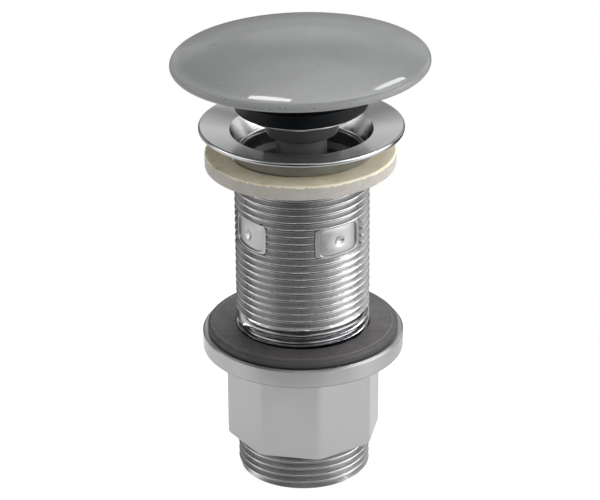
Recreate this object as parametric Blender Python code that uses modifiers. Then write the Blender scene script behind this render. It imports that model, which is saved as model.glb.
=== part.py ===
"""Sprung plug basin waste: a threaded brass body with a push-to-close ceramic plug and a screwed tail.

The waste stands on the end of its tail, with the plug up (open). The origin is the centre of the
tail's end face, and Z is the axis that every turned piece shares. Azimuths are measured from +X.
"""

import math

import bmesh
import bpy
from mathutils import Matrix, Vector

MM = 0.001

# Fineness of the round pieces
LARGE_STEPS = 40
MEDIUM_STEPS = 36
SMALL_STEPS = 20
PIN_STEPS = 10
BALL_STEPS = 8
FILLET_STEPS = 2
DOME_STEPS = 6
CORD_RESOLUTION = 1
TURN_MERGE = 0.01 * MM
SHARP_ANGLE = math.radians(30)
FILLET_SHARE = 0.49

# Clearances
GAP = 0.3 * MM
SLIDE_CLEARANCE = 0.45 * MM
CUT_OVERRUN = 1.0 * MM
EDGE_BREAK = 0.4 * MM

# Tail: lower male thread, octagon and clamping flange
TAIL_THREAD_RADIUS = 20.955 * MM
TAIL_THREAD_LENGTH = 12.4 * MM
TAIL_SPIGOT_WALL = 3.9 * MM
TAIL_SHOULDER = 2.0 * MM
OCTAGON_HEIGHT = 29.2 * MM
OCTAGON_WALL = 1.55 * MM
OCTAGON_CORNER = 0.9 * MM
OCTAGON_TURN = math.radians(11.0)
TAIL_FLANGE_RADIUS = 31.6 * MM
TAIL_FLANGE_THICKNESS = 5.9 * MM
TAIL_FLANGE_CHAMFER = 0.5 * MM

# Grey washer on the tail
TAIL_WASHER_RADIUS = 30.1 * MM
TAIL_WASHER_THICKNESS = 1.9 * MM
TAIL_WASHER_BEVEL = 0.6 * MM
TAIL_WASHER_CLEARANCE = 0.75 * MM

# Waste body: threaded tube
THREAD_RADIUS = 20.955 * MM
THREAD_DEPTH = 1.479 * MM
THREAD_PITCH = 2.309 * MM
TURNS_PER_RIDGE = 2
RIDGE_DEPTH = 1.0 * MM
TUBE_ROOT_WALL = 1.476 * MM
TUBE_ENGAGEMENT = 7.5 * MM
EXPOSED_THREAD = 53.3 * MM
CARRIER_STEP = 0.6 * MM

# Waste body: throat and dished flange
THROAT_STEP = 1.0 * MM
THROAT_FLARE = 2.4 * MM
THROAT_DEPTH = 6.6 * MM
NECK_WALL = 1.1 * MM
MOUTH_ROUND = 0.8 * MM
FLANGE_RADIUS = 31.5 * MM
FLANGE_EDGE = 1.5 * MM
FLANGE_EDGE_ROUND = 0.7 * MM
FLANGE_UNDER_RISE = 1.7 * MM
DISH_DEPTH = 1.5 * MM

# Waste body: four knock-out windows for a basin with an overflow
WINDOW_COUNT = 4
WINDOW_AZIMUTH = math.radians(-54.0)
WINDOW_DROP = 31.0 * MM
WINDOW_WIDTH = 15.5 * MM
WINDOW_HEIGHT = 9.5 * MM
WINDOW_CORNER = 0.8 * MM
PANEL_WIDTH = 13.0 * MM
PANEL_HEIGHT = 8.3 * MM
PANEL_CORNER = 1.3 * MM
PANEL_STEP = 0.6 * MM
MEMBRANE = 1.1 * MM
DIMPLE_RADIUS = 1.6 * MM
DIMPLE_DEPTH = 0.7 * MM

# Foam washer and tapered gasket under the flange
FOAM_WIDTH = 7.945 * MM
FOAM_THICKNESS = 4.6 * MM
FOAM_CLEARANCE = 0.6 * MM
GASKET_HEIGHT = 4.7 * MM
GASKET_FOOT_WALL = 1.1 * MM
GASKET_TOP_WALL = 2.0 * MM

# Push-push cartridge
CARTRIDGE_RADIUS = 7.75 * MM
CARTRIDGE_SHOULDER_STEP = 0.75 * MM
CARTRIDGE_WALL = 1.0 * MM
CARTRIDGE_LID = 1.2 * MM
CARTRIDGE_HEADROOM = 0.5 * MM
PIN_RADIUS = 0.8 * MM
PIN_LAND = 0.45 * MM
END_PLUG_SPIGOT = 2.6 * MM
END_PLUG_FLANGE = 1.5 * MM
END_PLUG_DRAIN = 1.5 * MM

# Spider that carries the cartridge
SPIDER_DROP = 4.4 * MM
SPIDER_RING_WALL = 1.5 * MM
SPIDER_RING_CHAMFER = 1.6 * MM
SPOKE_COUNT = 4
SPOKE_DROP = 3.1 * MM
SPOKE_WIDTH = 2.4 * MM
HUB_WALL = 2.7 * MM
HUB_HEIGHT = 2.8 * MM

# Plunger, index drum and what holds them together
PLUG_TRAVEL = 11.0 * MM
STUD_RADIUS = 3.0 * MM
STUD_IN_PLUNGER = 5.4 * MM
STUD_IN_INSERT = 3.7 * MM
SHAFT_WALL = 0.9 * MM
COLLAR_THICKNESS = 1.6 * MM
STEM_RADIUS = 2.6 * MM
STEM_END = 1.5 * MM
DRUM_END_WALL = 1.2 * MM
TRACK_RADIUS = 1.15 * MM
TRACK_DEPTH = 1.45 * MM
TRACK_LEGS = 8
TRACK_LEG_STEPS = 3
THRUST_THICKNESS = 0.8 * MM
THRUST_CLEARANCE = 0.6 * MM
CLIP_THICKNESS = 0.8 * MM
CLIP_GROOVE_DEPTH = 0.7 * MM
CLIP_MOUTH_SHARE = 1.6
WIRE_RADIUS = 0.45 * MM
SPRING_CLEARANCE = 0.8 * MM
SPRING_TURNS = 7
SPRING_END_TURNS = 1
SPRING_TURN_STEPS = 12
SPRING_SHUT_ALLOWANCE = 0.3 * MM
COIL_GAP = 0.1 * MM

# Seal, clamping disc, sleeve and hub of the plug
SEAL_INSET = 1.5 * MM
SEAL_EDGE = 4.3 * MM
SEAL_BEVEL = 1.0 * MM
SEAL_FOOT_INSET = 3.0 * MM
SEAL_WEB = 3.0 * MM
SEAL_LIP = 2.7 * MM
DISC_INSET = 0.4 * MM
DISC_THICKNESS = 0.9 * MM
SLEEVE_WALL = 1.5 * MM
SKIRT_STEP = 1.5 * MM
SKIRT_LENGTH = 6.0 * MM
SLEEVE_NECK = 7.2 * MM
HUB_BODY_HEIGHT = 10.2 * MM
HUB_BODY_FOOT = 2.9 * MM
HUB_BODY_INSET = 1.5 * MM
HUB_BODY_PLATE = 3.3 * MM
NUT_THICKNESS = 3.0 * MM
NUT_FLAT_WALL = 1.7 * MM
O_RING_WIRE = 0.8 * MM
O_RING_RADIUS = 5.3 * MM

# Ceramic cap
CAP_RADIUS = 39.5 * MM
CAP_HEIGHT = 9.2 * MM
CAP_DOME_RADIUS = 120.0 * MM
CAP_SHOULDER = 1.8 * MM
CAP_EDGE = 1.3 * MM
CAP_FOOT_WIDTH = 4.5 * MM
CAP_SEAT_MARGIN = 3.0 * MM
CAP_RECESS_DEPTH = 1.5 * MM
INSERT_RADIUS = 6.0 * MM
INSERT_HEIGHT = 4.7 * MM

# Radii that follow
OCTAGON_FLAT_RADIUS = THREAD_RADIUS + GAP + OCTAGON_WALL
BORE_RADIUS = THREAD_RADIUS - THREAD_DEPTH - TUBE_ROOT_WALL
CARRIER_BORE = BORE_RADIUS + CARRIER_STEP
THROAT_RADIUS = CARRIER_BORE + THROAT_STEP
MOUTH_RADIUS = THROAT_RADIUS + THROAT_FLARE
NECK_RADIUS = CARTRIDGE_RADIUS - CARTRIDGE_SHOULDER_STEP
CARTRIDGE_BORE = NECK_RADIUS - CARTRIDGE_WALL
DRUM_RADIUS = CARTRIDGE_BORE - GAP
SHAFT_RADIUS = STUD_RADIUS + GAP + SHAFT_WALL
SPRING_RADIUS = CARTRIDGE_BORE - SPRING_CLEARANCE - WIRE_RADIUS
CLIP_RADIUS = SPRING_RADIUS - WIRE_RADIUS - GAP
SLEEVE_BORE = CARTRIDGE_RADIUS + SLIDE_CLEARANCE
SLEEVE_NECK_RADIUS = SLEEVE_BORE + SLEEVE_WALL
PLUG_BORE = SLEEVE_NECK_RADIUS + GAP
SEAL_RADIUS = MOUTH_RADIUS - SEAL_INSET
SEAL_FOOT_RADIUS = SEAL_RADIUS - SEAL_FOOT_INSET
HUB_BODY_FOOT_RADIUS = SEAL_RADIUS - SEAL_LIP - GAP
HUB_BODY_RADIUS = HUB_BODY_FOOT_RADIUS - HUB_BODY_INSET

# Levels of the fixed pieces, from the end of the tail upwards
OCTAGON_BOTTOM = TAIL_THREAD_LENGTH
TAIL_FLANGE_BOTTOM = OCTAGON_BOTTOM + OCTAGON_HEIGHT
TAIL_TOP = TAIL_FLANGE_BOTTOM + TAIL_FLANGE_THICKNESS
TAIL_WASHER_BOTTOM = TAIL_TOP + GAP
TUBE_BOTTOM = TAIL_TOP - TUBE_ENGAGEMENT
FOAM_BOTTOM = TAIL_WASHER_BOTTOM + TAIL_WASHER_THICKNESS + EXPOSED_THREAD
GASKET_BOTTOM = FOAM_BOTTOM + FOAM_THICKNESS + GAP
FLANGE_ROOT = GASKET_BOTTOM + GASKET_HEIGHT + GAP
FLANGE_BOTTOM = FLANGE_ROOT + FLANGE_UNDER_RISE
FLANGE_TOP = FLANGE_BOTTOM + FLANGE_EDGE
MOUTH_TOP = FLANGE_TOP - DISH_DEPTH
THROAT_BOTTOM = MOUTH_TOP - THROAT_DEPTH
WINDOW_CENTRE = FLANGE_TOP - WINDOW_DROP

# Levels of the plug at rest: shut, its seal would meet the throat's cone
SEAL_SHUT = THROAT_BOTTOM + THROAT_DEPTH * (SEAL_RADIUS + GAP - THROAT_RADIUS) / THROAT_FLARE
SEAL_EDGE_BOTTOM = SEAL_SHUT + PLUG_TRAVEL
SEAL_BOTTOM = SEAL_EDGE_BOTTOM - SEAL_BEVEL
DISC_BOTTOM = SEAL_BOTTOM - GAP - DISC_THICKNESS
SKIRT_BOTTOM = DISC_BOTTOM - GAP - SKIRT_LENGTH
HUB_BODY_BOTTOM = SEAL_BOTTOM + SEAL_WEB + GAP
HUB_BODY_TOP = HUB_BODY_BOTTOM + HUB_BODY_HEIGHT
CAP_BOTTOM = HUB_BODY_TOP + GAP
NUT_BOTTOM = HUB_BODY_TOP - HUB_BODY_PLATE - GAP - NUT_THICKNESS
PLUNGER_TOP = NUT_BOTTOM - GAP
STUD_BOTTOM = PLUNGER_TOP - STUD_IN_PLUNGER

# Levels inside the cartridge at rest
CARTRIDGE_TOP = NUT_BOTTOM - PLUG_TRAVEL - CARTRIDGE_HEADROOM
COLLAR_TOP = CARTRIDGE_TOP - CARTRIDGE_LID - GAP
DRUM_TOP = COLLAR_TOP - COLLAR_THICKNESS - GAP
TRACK_TOP = DRUM_TOP - DRUM_END_WALL - TRACK_RADIUS
PIN_LEVEL = TRACK_TOP - PLUG_TRAVEL
DRUM_BOTTOM = PIN_LEVEL - TRACK_RADIUS - DRUM_END_WALL
THRUST_BOTTOM = DRUM_BOTTOM - GAP - THRUST_THICKNESS
CLIP_BOTTOM = THRUST_BOTTOM - GAP - CLIP_THICKNESS
STEM_BOTTOM = CLIP_BOTTOM - GAP - STEM_END
SPRING_TOP = THRUST_BOTTOM - GAP
SPRING_SHUT = (SPRING_TURNS + SPRING_END_TURNS) * 2 * WIRE_RADIUS + SPRING_SHUT_ALLOWANCE
SPRING_BOTTOM = SPRING_TOP - PLUG_TRAVEL - SPRING_SHUT
END_PLUG_TOP = SPRING_BOTTOM - GAP
CARTRIDGE_BOTTOM = END_PLUG_TOP - END_PLUG_SPIGOT
CARTRIDGE_SHOULDER = PIN_LEVEL - PIN_RADIUS - GAP - PIN_LAND

# Levels of the spider
SPIDER_TOP = THROAT_BOTTOM - SPIDER_DROP
HUB_TOP = CARTRIDGE_SHOULDER - GAP
SPIDER_BOTTOM = HUB_TOP - HUB_HEIGHT
CARRIER_LEDGE = SPIDER_BOTTOM - GAP

# Colour, roughness and metallic value of each finish
CHROME = ((0.78, 0.78, 0.79), 0.12, 1.0)
MACHINED = ((0.55, 0.54, 0.52), 0.35, 1.0)
STEEL = ((0.60, 0.60, 0.60), 0.30, 1.0)
GLAZE = ((0.34, 0.35, 0.345), 0.30, 0.0)
BLACK_MOULDING = ((0.006, 0.007, 0.008), 0.20, 0.0)
BLACK_RUBBER = ((0.010, 0.011, 0.012), 0.45, 0.0)
GREY_MOULDING = ((0.060, 0.060, 0.060), 0.42, 0.0)
GREY_RUBBER = ((0.085, 0.080, 0.085), 0.60, 0.0)
FOAM = ((0.55, 0.51, 0.42), 0.90, 0.0)
CLEAR_RUBBER = ((0.20, 0.19, 0.15), 0.40, 0.0)


def clear_scene():
    """Remove every object of the scene."""
    for item in list(bpy.data.objects):
        bpy.data.objects.remove(item, do_unlink=True)


def new_collection(name):
    """Make a collection in the scene and return it."""
    collection = bpy.data.collections.new(name)
    bpy.context.scene.collection.children.link(collection)
    return collection


def add_material(piece, finish):
    """Give a piece a Principled material of its own."""
    colour, roughness, metallic = finish
    material = bpy.data.materials.new(piece.name)
    material.use_nodes = True
    shader = material.node_tree.nodes["Principled BSDF"]
    shader.inputs["Base Color"].default_value = (*colour, 1.0)
    shader.inputs["Roughness"].default_value = roughness
    shader.inputs["Metallic"].default_value = metallic
    piece.data.materials.append(material)


def new_piece(name, mesh, collection, level=0.0):
    """Link a mesh as an object whose own zero lies at the given level on the axis."""
    piece = bpy.data.objects.new(name, mesh)
    piece.location = (0, 0, level)
    collection.objects.link(piece)
    return piece


def mesh_from(name, bm):
    """Turn a bmesh into a smooth-shaded mesh whose edges stay sharp."""
    mesh = bpy.data.meshes.new(name)
    bm.to_mesh(mesh)
    bm.free()
    mesh.shade_smooth()
    mesh.set_sharp_from_angle(angle=SHARP_ANGLE)
    return mesh


def rounded(corners):
    """Return the outline's points, with each corner (r, z, fillet) rounded by an arc of its fillet."""
    points = []
    count = len(corners)
    for index, (radius, height, fillet) in enumerate(corners):
        here = Vector((radius, height))
        if not fillet:
            points.append(here)
            continue
        before = Vector(corners[index - 1][:2]) - here
        after = Vector(corners[(index + 1) % count][:2]) - here
        half = before.angle(after) / 2
        reach = min(fillet / math.tan(half), before.length * FILLET_SHARE, after.length * FILLET_SHARE)
        centre = here + (before.normalized() + after.normalized()).normalized() * reach / math.cos(half)
        start = here + before.normalized() * reach - centre
        end = here + after.normalized() * reach - centre
        sweep = math.atan2(start.cross(end), start.dot(end))
        for step in range(FILLET_STEPS + 1):
            turned_start = Matrix.Rotation(sweep * step / FILLET_STEPS, 2) @ start
            points.append(centre + turned_start)
    return points


def arc(centre, radius, start, end, steps):
    """Return points on an arc about centre, its angles measured from +Z towards +X."""
    angles = [start + (end - start) * step / steps for step in range(steps + 1)]
    return [Vector((centre[0] + radius * math.sin(a), centre[1] + radius * math.cos(a))) for a in angles]


def turned(name, points, collection, level=0.0, steps=SMALL_STEPS, closed=True):
    """Revolve a profile about Z: it runs down the outer side and back up the inner side.

    A solid without a bore has an open profile whose two ends lie on the axis.
    """
    mesh = bpy.data.meshes.new(name)
    vertices = [(point[0], 0, point[1]) for point in points]
    edges = [(index, index + 1) for index in range(len(points) - 1)]
    if closed:
        edges.append((len(points) - 1, 0))
    mesh.from_pydata(vertices, edges, [])
    piece = new_piece(name, mesh, collection, level)
    screw = piece.modifiers.new("turn", "SCREW")
    screw.steps = steps
    screw.render_steps = steps
    screw.use_merge_vertices = True
    screw.merge_threshold = TURN_MERGE
    screw.use_smooth_shade = True
    return piece


def ring(name, inner, outer, height, collection, level, fillet=0.0, steps=SMALL_STEPS):
    """Turn a plain ring from its base up, with its outer edges rounded by fillet."""
    corners = [(outer, height, fillet), (outer, 0, fillet), (inner, 0, 0), (inner, height, 0)]
    return turned(name, rounded(corners), collection, level, steps)


def cylinder(name, radius, length, collection, level=0.0, steps=SMALL_STEPS):
    """Make a closed cylinder from the given level upwards."""
    bm = bmesh.new()
    place = Matrix.Translation((0, 0, length / 2))
    bmesh.ops.create_cone(
        bm, cap_ends=True, segments=steps, radius1=radius, radius2=radius, depth=length, matrix=place)
    return new_piece(name, mesh_from(name, bm), collection, level)


def block(name, size, collection, level=0.0):
    """Make a box centred on its own zero."""
    bm = bmesh.new()
    bmesh.ops.create_cube(bm, size=1, matrix=Matrix.Diagonal((*size, 1)))
    return new_piece(name, mesh_from(name, bm), collection, level)


def prism(name, sides, flat_radius, height, turn, corner, collection, level=0.0):
    """Make an upright prism of so many sides, with its upright edges rounded."""
    bm = bmesh.new()
    reach = flat_radius / math.cos(math.pi / sides)
    place = Matrix.Rotation(turn, 4, "Z") @ Matrix.Translation((0, 0, height / 2))
    bmesh.ops.create_cone(
        bm, cap_ends=True, segments=sides, radius1=reach, radius2=reach, depth=height, matrix=place)
    if corner:
        upright = [e for e in bm.edges if abs(e.verts[0].co.z - e.verts[1].co.z) > height / 2]
        bmesh.ops.bevel(
            bm, geom=upright, offset=corner, offset_type="OFFSET", segments=FILLET_STEPS,
            profile=0.5, affect="EDGES")
    return new_piece(name, mesh_from(name, bm), collection, level)


def combine(piece, tool, operation="DIFFERENCE"):
    """Cut a piece with a hidden tool, or join the tool to it."""
    tool.hide_render = True
    tool.display_type = "WIRE"
    modifier = piece.modifiers.new(f"{operation.lower()}_{tool.name}", "BOOLEAN")
    modifier.operation = operation
    modifier.solver = "EXACT"
    modifier.object = tool
    return modifier


def thread_ridges(radius, top, bottom):
    """Return a thread's outline down a shaft: rings in place of its helix, one to every few turns.

    They are shallower than the thread, so that they stay clear of the windows' floors.
    """
    count = round((top - bottom) / (THREAD_PITCH * TURNS_PER_RIDGE))
    spacing = (top - bottom) / count
    points = []
    for index in range(count):
        crest = top - spacing * index
        points += [(radius, crest, 0), (radius - RIDGE_DEPTH, crest - spacing / 2, 0)]
    return points + [(radius, bottom, 0)]


def tail(parts, cutters):
    """Tail body: male thread, octagon and flange in one piece, and the washer that lies on it."""
    chamfer = TAIL_FLANGE_CHAMFER
    core = OCTAGON_FLAT_RADIUS - OCTAGON_WALL / 2
    outline = rounded([
        (0, TAIL_TOP, 0),
        (TAIL_FLANGE_RADIUS - chamfer, TAIL_TOP, 0),
        (TAIL_FLANGE_RADIUS, TAIL_TOP - chamfer, 0),
        (TAIL_FLANGE_RADIUS, TAIL_FLANGE_BOTTOM, EDGE_BREAK),
        (core, TAIL_FLANGE_BOTTOM, 0),
        (core, OCTAGON_BOTTOM + CUT_OVERRUN, 0),
        (TAIL_THREAD_RADIUS, OCTAGON_BOTTOM + CUT_OVERRUN, 0),
        *thread_ridges(TAIL_THREAD_RADIUS, OCTAGON_BOTTOM, THREAD_DEPTH / 2),
        (TAIL_THREAD_RADIUS - THREAD_DEPTH / 2, 0, 0),
        (0, 0, 0),
    ])
    body = turned("tail_body", outline, parts, steps=LARGE_STEPS, closed=False)
    octagon = prism(
        "tail_octagon", 8, OCTAGON_FLAT_RADIUS, OCTAGON_HEIGHT + CUT_OVERRUN,
        OCTAGON_TURN, OCTAGON_CORNER, cutters, OCTAGON_BOTTOM)
    combine(body, octagon, "UNION")
    spigot_bore = TAIL_THREAD_RADIUS - TAIL_SPIGOT_WALL
    socket = THREAD_RADIUS + GAP
    shoulder = OCTAGON_BOTTOM + TAIL_SHOULDER
    bore = [
        (0, TAIL_TOP + CUT_OVERRUN),
        (socket, TAIL_TOP + CUT_OVERRUN),
        (socket, shoulder),
        (spigot_bore, shoulder),
        (spigot_bore, -CUT_OVERRUN),
        (0, -CUT_OVERRUN),
    ]
    combine(body, turned("tail_bore", bore, cutters, steps=LARGE_STEPS, closed=False))
    add_material(body, CHROME)

    inner = THREAD_RADIUS + TAIL_WASHER_CLEARANCE
    bevel = TAIL_WASHER_BEVEL
    outline = [
        (TAIL_WASHER_RADIUS - bevel, TAIL_WASHER_THICKNESS),
        (TAIL_WASHER_RADIUS, TAIL_WASHER_THICKNESS - bevel),
        (TAIL_WASHER_RADIUS, 0),
        (inner, 0),
        (inner, TAIL_WASHER_THICKNESS),
    ]
    washer = turned("tail_washer", outline, parts, TAIL_WASHER_BOTTOM, LARGE_STEPS)
    add_material(washer, GREY_RUBBER)
    return [body, washer]


def window_tool(name, width, height, corner, floor, azimuth, cutters):
    """Make the cutter of a window: a rounded block outside a floor that follows the tube."""
    outside = THREAD_RADIUS + CUT_OVERRUN
    bm = bmesh.new()
    place = Matrix.Translation((outside / 2, 0, 0)) @ Matrix.Diagonal((outside, width, height, 1))
    bmesh.ops.create_cube(bm, size=1, matrix=place)
    radial = [e for e in bm.edges if abs(e.verts[0].co.x - e.verts[1].co.x) > outside / 2]
    bmesh.ops.bevel(
        bm, geom=radial, offset=corner, offset_type="OFFSET", segments=FILLET_STEPS,
        profile=0.5, affect="EDGES")
    tool = new_piece(name, mesh_from(name, bm), cutters, WINDOW_CENTRE)
    tool.rotation_euler = (0, 0, azimuth)
    combine(tool, floor)
    return tool


def waste_tube(parts, cutters):
    """Waste body: dished flange, polished throat and threaded tube with four knock-out windows."""
    neck_top = THROAT_RADIUS + THROAT_FLARE * (FLANGE_ROOT - THROAT_BOTTOM) / THROAT_DEPTH + NECK_WALL
    outline = rounded([
        (MOUTH_RADIUS, MOUTH_TOP, MOUTH_ROUND),
        (FLANGE_RADIUS, FLANGE_TOP, FLANGE_EDGE_ROUND),
        (FLANGE_RADIUS, FLANGE_BOTTOM, FLANGE_EDGE_ROUND),
        (neck_top, FLANGE_ROOT, 0),
        *thread_ridges(THREAD_RADIUS, neck_start(), TUBE_BOTTOM + THREAD_DEPTH),
        (THREAD_RADIUS - THREAD_DEPTH / 2, TUBE_BOTTOM, 0),
        (BORE_RADIUS, TUBE_BOTTOM, 0),
        (BORE_RADIUS, CARRIER_LEDGE, 0),
        (CARRIER_BORE, CARRIER_LEDGE, 0),
        (CARRIER_BORE, THROAT_BOTTOM - EDGE_BREAK, 0),
        (THROAT_RADIUS, THROAT_BOTTOM, 0),
    ])
    body = turned("waste_body", outline, parts, steps=LARGE_STEPS)
    panel_floor = BORE_RADIUS + MEMBRANE
    window_floor = panel_floor + PANEL_STEP
    floor_base = WINDOW_CENTRE - WINDOW_HEIGHT
    floors = [
        cylinder(name, radius, WINDOW_HEIGHT * 2, cutters, floor_base, LARGE_STEPS)
        for name, radius in (("window_floor", window_floor), ("panel_floor", panel_floor))]
    for index in range(WINDOW_COUNT):
        azimuth = WINDOW_AZIMUTH + math.tau * index / WINDOW_COUNT
        combine(body, window_tool(
            f"window_{index}", WINDOW_WIDTH, WINDOW_HEIGHT, WINDOW_CORNER, floors[0], azimuth, cutters))
        combine(body, window_tool(
            f"panel_{index}", PANEL_WIDTH, PANEL_HEIGHT, PANEL_CORNER, floors[1], azimuth, cutters))
        combine(body, dimple_tool(f"dimple_{index}", panel_floor, azimuth, cutters))
    add_material(body, CHROME)
    return body


def neck_start():
    """Return the level at which the neck's cone leaves the tube, a wall outside the throat."""
    rise = THREAD_RADIUS - NECK_WALL - THROAT_RADIUS
    return THROAT_BOTTOM + THROAT_DEPTH * rise / THROAT_FLARE


def dimple_tool(name, floor_radius, azimuth, cutters):
    """Make the cone that marks the middle of a window, its point towards the axis."""
    bm = bmesh.new()
    scale = (DIMPLE_DEPTH + CUT_OVERRUN) / DIMPLE_DEPTH
    bmesh.ops.create_cone(
        bm, cap_ends=True, segments=PIN_STEPS, radius1=0, radius2=DIMPLE_RADIUS * scale,
        depth=DIMPLE_DEPTH * scale)
    tool = new_piece(name, mesh_from(name, bm), cutters)
    tool.rotation_euler = (0, math.pi / 2, azimuth)
    reach = floor_radius - DIMPLE_DEPTH + DIMPLE_DEPTH * scale / 2
    tool.location = (reach * math.cos(azimuth), reach * math.sin(azimuth), WINDOW_CENTRE)
    return tool


def flange_seals(parts):
    """Tapered gasket round the neck, and the foam washer below it."""
    inner_foot = THREAD_RADIUS + GAP
    neck_rise = neck_start() - GASKET_BOTTOM
    inner_top = inner_foot + (GASKET_HEIGHT - neck_rise) * THROAT_FLARE / THROAT_DEPTH
    outline = rounded([
        (inner_top + GASKET_TOP_WALL, GASKET_HEIGHT, EDGE_BREAK),
        (inner_foot + GASKET_FOOT_WALL, 0, EDGE_BREAK / 2),
        (inner_foot, 0, 0),
        (inner_foot, neck_rise, 0),
        (inner_top, GASKET_HEIGHT, 0),
    ])
    gasket = turned("flange_gasket", outline, parts, GASKET_BOTTOM, MEDIUM_STEPS)
    add_material(gasket, CLEAR_RUBBER)
    foam_bore = THREAD_RADIUS + FOAM_CLEARANCE
    foam = ring(
        "foam_washer", foam_bore, foam_bore + FOAM_WIDTH, FOAM_THICKNESS,
        parts, FOAM_BOTTOM, EDGE_BREAK, LARGE_STEPS)
    add_material(foam, FOAM)


def spider(parts, cutters):
    """Spider: a chamfered ring that sits on the bore's ledge, four spokes and a hub."""
    outer = CARRIER_BORE - GAP
    inner = outer - SPIDER_RING_WALL
    height = SPIDER_TOP - SPIDER_BOTTOM
    outline = [
        (outer, height),
        (outer, 0),
        (inner, 0),
        (inner, height - SPIDER_RING_CHAMFER),
        (outer - EDGE_BREAK, height),
    ]
    body = turned("spider", outline, parts, SPIDER_BOTTOM, MEDIUM_STEPS)
    spoke_height = SPIDER_TOP - SPOKE_DROP - SPIDER_BOTTOM
    span = inner + SPIDER_RING_WALL / 2
    for index in range(SPOKE_COUNT // 2):
        bar = block(
            f"spokes_{index}", (2 * span, SPOKE_WIDTH, spoke_height), cutters,
            SPIDER_BOTTOM + spoke_height / 2)
        bar.rotation_euler = (0, 0, math.tau * index / SPOKE_COUNT)
        combine(body, bar, "UNION")
    hub = cylinder("spider_hub", NECK_RADIUS + GAP + HUB_WALL, HUB_HEIGHT, cutters, SPIDER_BOTTOM)
    combine(body, hub, "UNION")
    seat_height = spoke_height - HUB_HEIGHT
    seat = cylinder(
        "cartridge_seat", CARTRIDGE_RADIUS + GAP, seat_height + CUT_OVERRUN, cutters, HUB_TOP)
    combine(body, seat)
    bore = cylinder(
        "hub_bore", NECK_RADIUS + GAP, HUB_HEIGHT + 2 * CUT_OVERRUN, cutters,
        SPIDER_BOTTOM - CUT_OVERRUN)
    combine(body, bore)
    add_material(body, GREY_MOULDING)


def cartridge(parts, cutters):
    """Cartridge housing with its two guide pins and the plug that closes its foot."""
    base = CARTRIDGE_BOTTOM
    outline = rounded([
        (CARTRIDGE_RADIUS, CARTRIDGE_TOP - base, EDGE_BREAK),
        (CARTRIDGE_RADIUS, CARTRIDGE_SHOULDER - base, 0),
        (NECK_RADIUS, CARTRIDGE_SHOULDER - base, 0),
        (NECK_RADIUS, 0, 0),
        (CARTRIDGE_BORE, 0, 0),
        (CARTRIDGE_BORE, CARTRIDGE_TOP - CARTRIDGE_LID - base, 0),
        (SHAFT_RADIUS + GAP, CARTRIDGE_TOP - CARTRIDGE_LID - base, 0),
        (SHAFT_RADIUS + GAP, CARTRIDGE_TOP - base, 0),
    ])
    body = turned("cartridge_body", outline, parts, base)
    length = 2 * (CARTRIDGE_RADIUS + CUT_OVERRUN)
    holes = cylinder("pin_holes", PIN_RADIUS + GAP, length, cutters, PIN_LEVEL, PIN_STEPS)
    holes.rotation_euler = (math.pi / 2, 0, 0)
    holes.location.y = length / 2
    combine(body, holes)
    add_material(body, GREY_MOULDING)

    tip = DRUM_RADIUS - TRACK_DEPTH + GAP * 2
    for name, side in (("guide_pin_front", -1), ("guide_pin_back", 1)):
        pin = cylinder(name, PIN_RADIUS, CARTRIDGE_RADIUS - tip, parts, PIN_LEVEL, PIN_STEPS)
        pin.rotation_euler = (-side * math.pi / 2, 0, 0)
        pin.location.y = side * tip
        add_material(pin, STEEL)

    spigot = CARTRIDGE_BORE - GAP
    outline = [
        (spigot, END_PLUG_TOP - base),
        (spigot, -GAP),
        (NECK_RADIUS, -GAP),
        (NECK_RADIUS, -GAP - END_PLUG_FLANGE),
        (END_PLUG_DRAIN, -GAP - END_PLUG_FLANGE),
        (END_PLUG_DRAIN, END_PLUG_TOP - base),
    ]
    end_plug = turned("cartridge_end_plug", outline, parts, base)
    add_material(end_plug, GREY_MOULDING)


def track_point(share):
    """Return a point of the zigzag track, share legs on from the front guide pin."""
    path_radius = DRUM_RADIUS - TRACK_DEPTH + TRACK_RADIUS
    azimuth = -math.pi / 2 + math.tau * share / TRACK_LEGS
    climb = 1 - abs(share % 2 - 1)
    height = PIN_LEVEL - DRUM_BOTTOM + PLUG_TRAVEL * climb
    return Vector((path_radius * math.cos(azimuth), path_radius * math.sin(azimuth), height))


def track_tool(cutters):
    """Make the cutter of the drum's zigzag track: a round cord for each leg, a ball at each corner.

    The legs climb and fall in turn by the plug's travel, each over its share of the turn, and the
    lower corners lie at the guide pins, which stand on the Y axis.
    """
    curve = bpy.data.curves.new("track_legs", "CURVE")
    curve.dimensions = "3D"
    curve.bevel_depth = TRACK_RADIUS
    curve.bevel_resolution = CORD_RESOLUTION
    curve.use_fill_caps = True
    for leg in range(TRACK_LEGS):
        spline = curve.splines.new("POLY")
        spline.points.add(TRACK_LEG_STEPS)
        for index, point in enumerate(spline.points):
            point.co = (*track_point(leg + index / TRACK_LEG_STEPS), 1)
    legs = new_piece("track_legs", curve, cutters)
    bpy.context.view_layer.update()
    evaluated = legs.evaluated_get(bpy.context.evaluated_depsgraph_get())
    mesh = bpy.data.meshes.new_from_object(evaluated)
    bpy.data.objects.remove(legs, do_unlink=True)
    bm = bmesh.new()
    bm.from_mesh(mesh)
    bmesh.ops.remove_doubles(bm, verts=bm.verts, dist=TURN_MERGE)
    for corner in range(TRACK_LEGS):
        bmesh.ops.create_uvsphere(
            bm, u_segments=BALL_STEPS, v_segments=BALL_STEPS // 2, radius=TRACK_RADIUS,
            matrix=Matrix.Translation(track_point(corner)))
    bm.to_mesh(mesh)
    bm.free()
    return new_piece("track", mesh, cutters, DRUM_BOTTOM)


def index_drum(parts, cutters):
    """Drum that the guide pins turn by one leg of its track at each stroke of the plug."""
    drum = ring(
        "index_drum", STEM_RADIUS + GAP, DRUM_RADIUS, DRUM_TOP - DRUM_BOTTOM, parts, DRUM_BOTTOM)
    cut = combine(drum, track_tool(cutters))
    cut.use_self = True
    add_material(drum, BLACK_MOULDING)
    return drum


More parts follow.
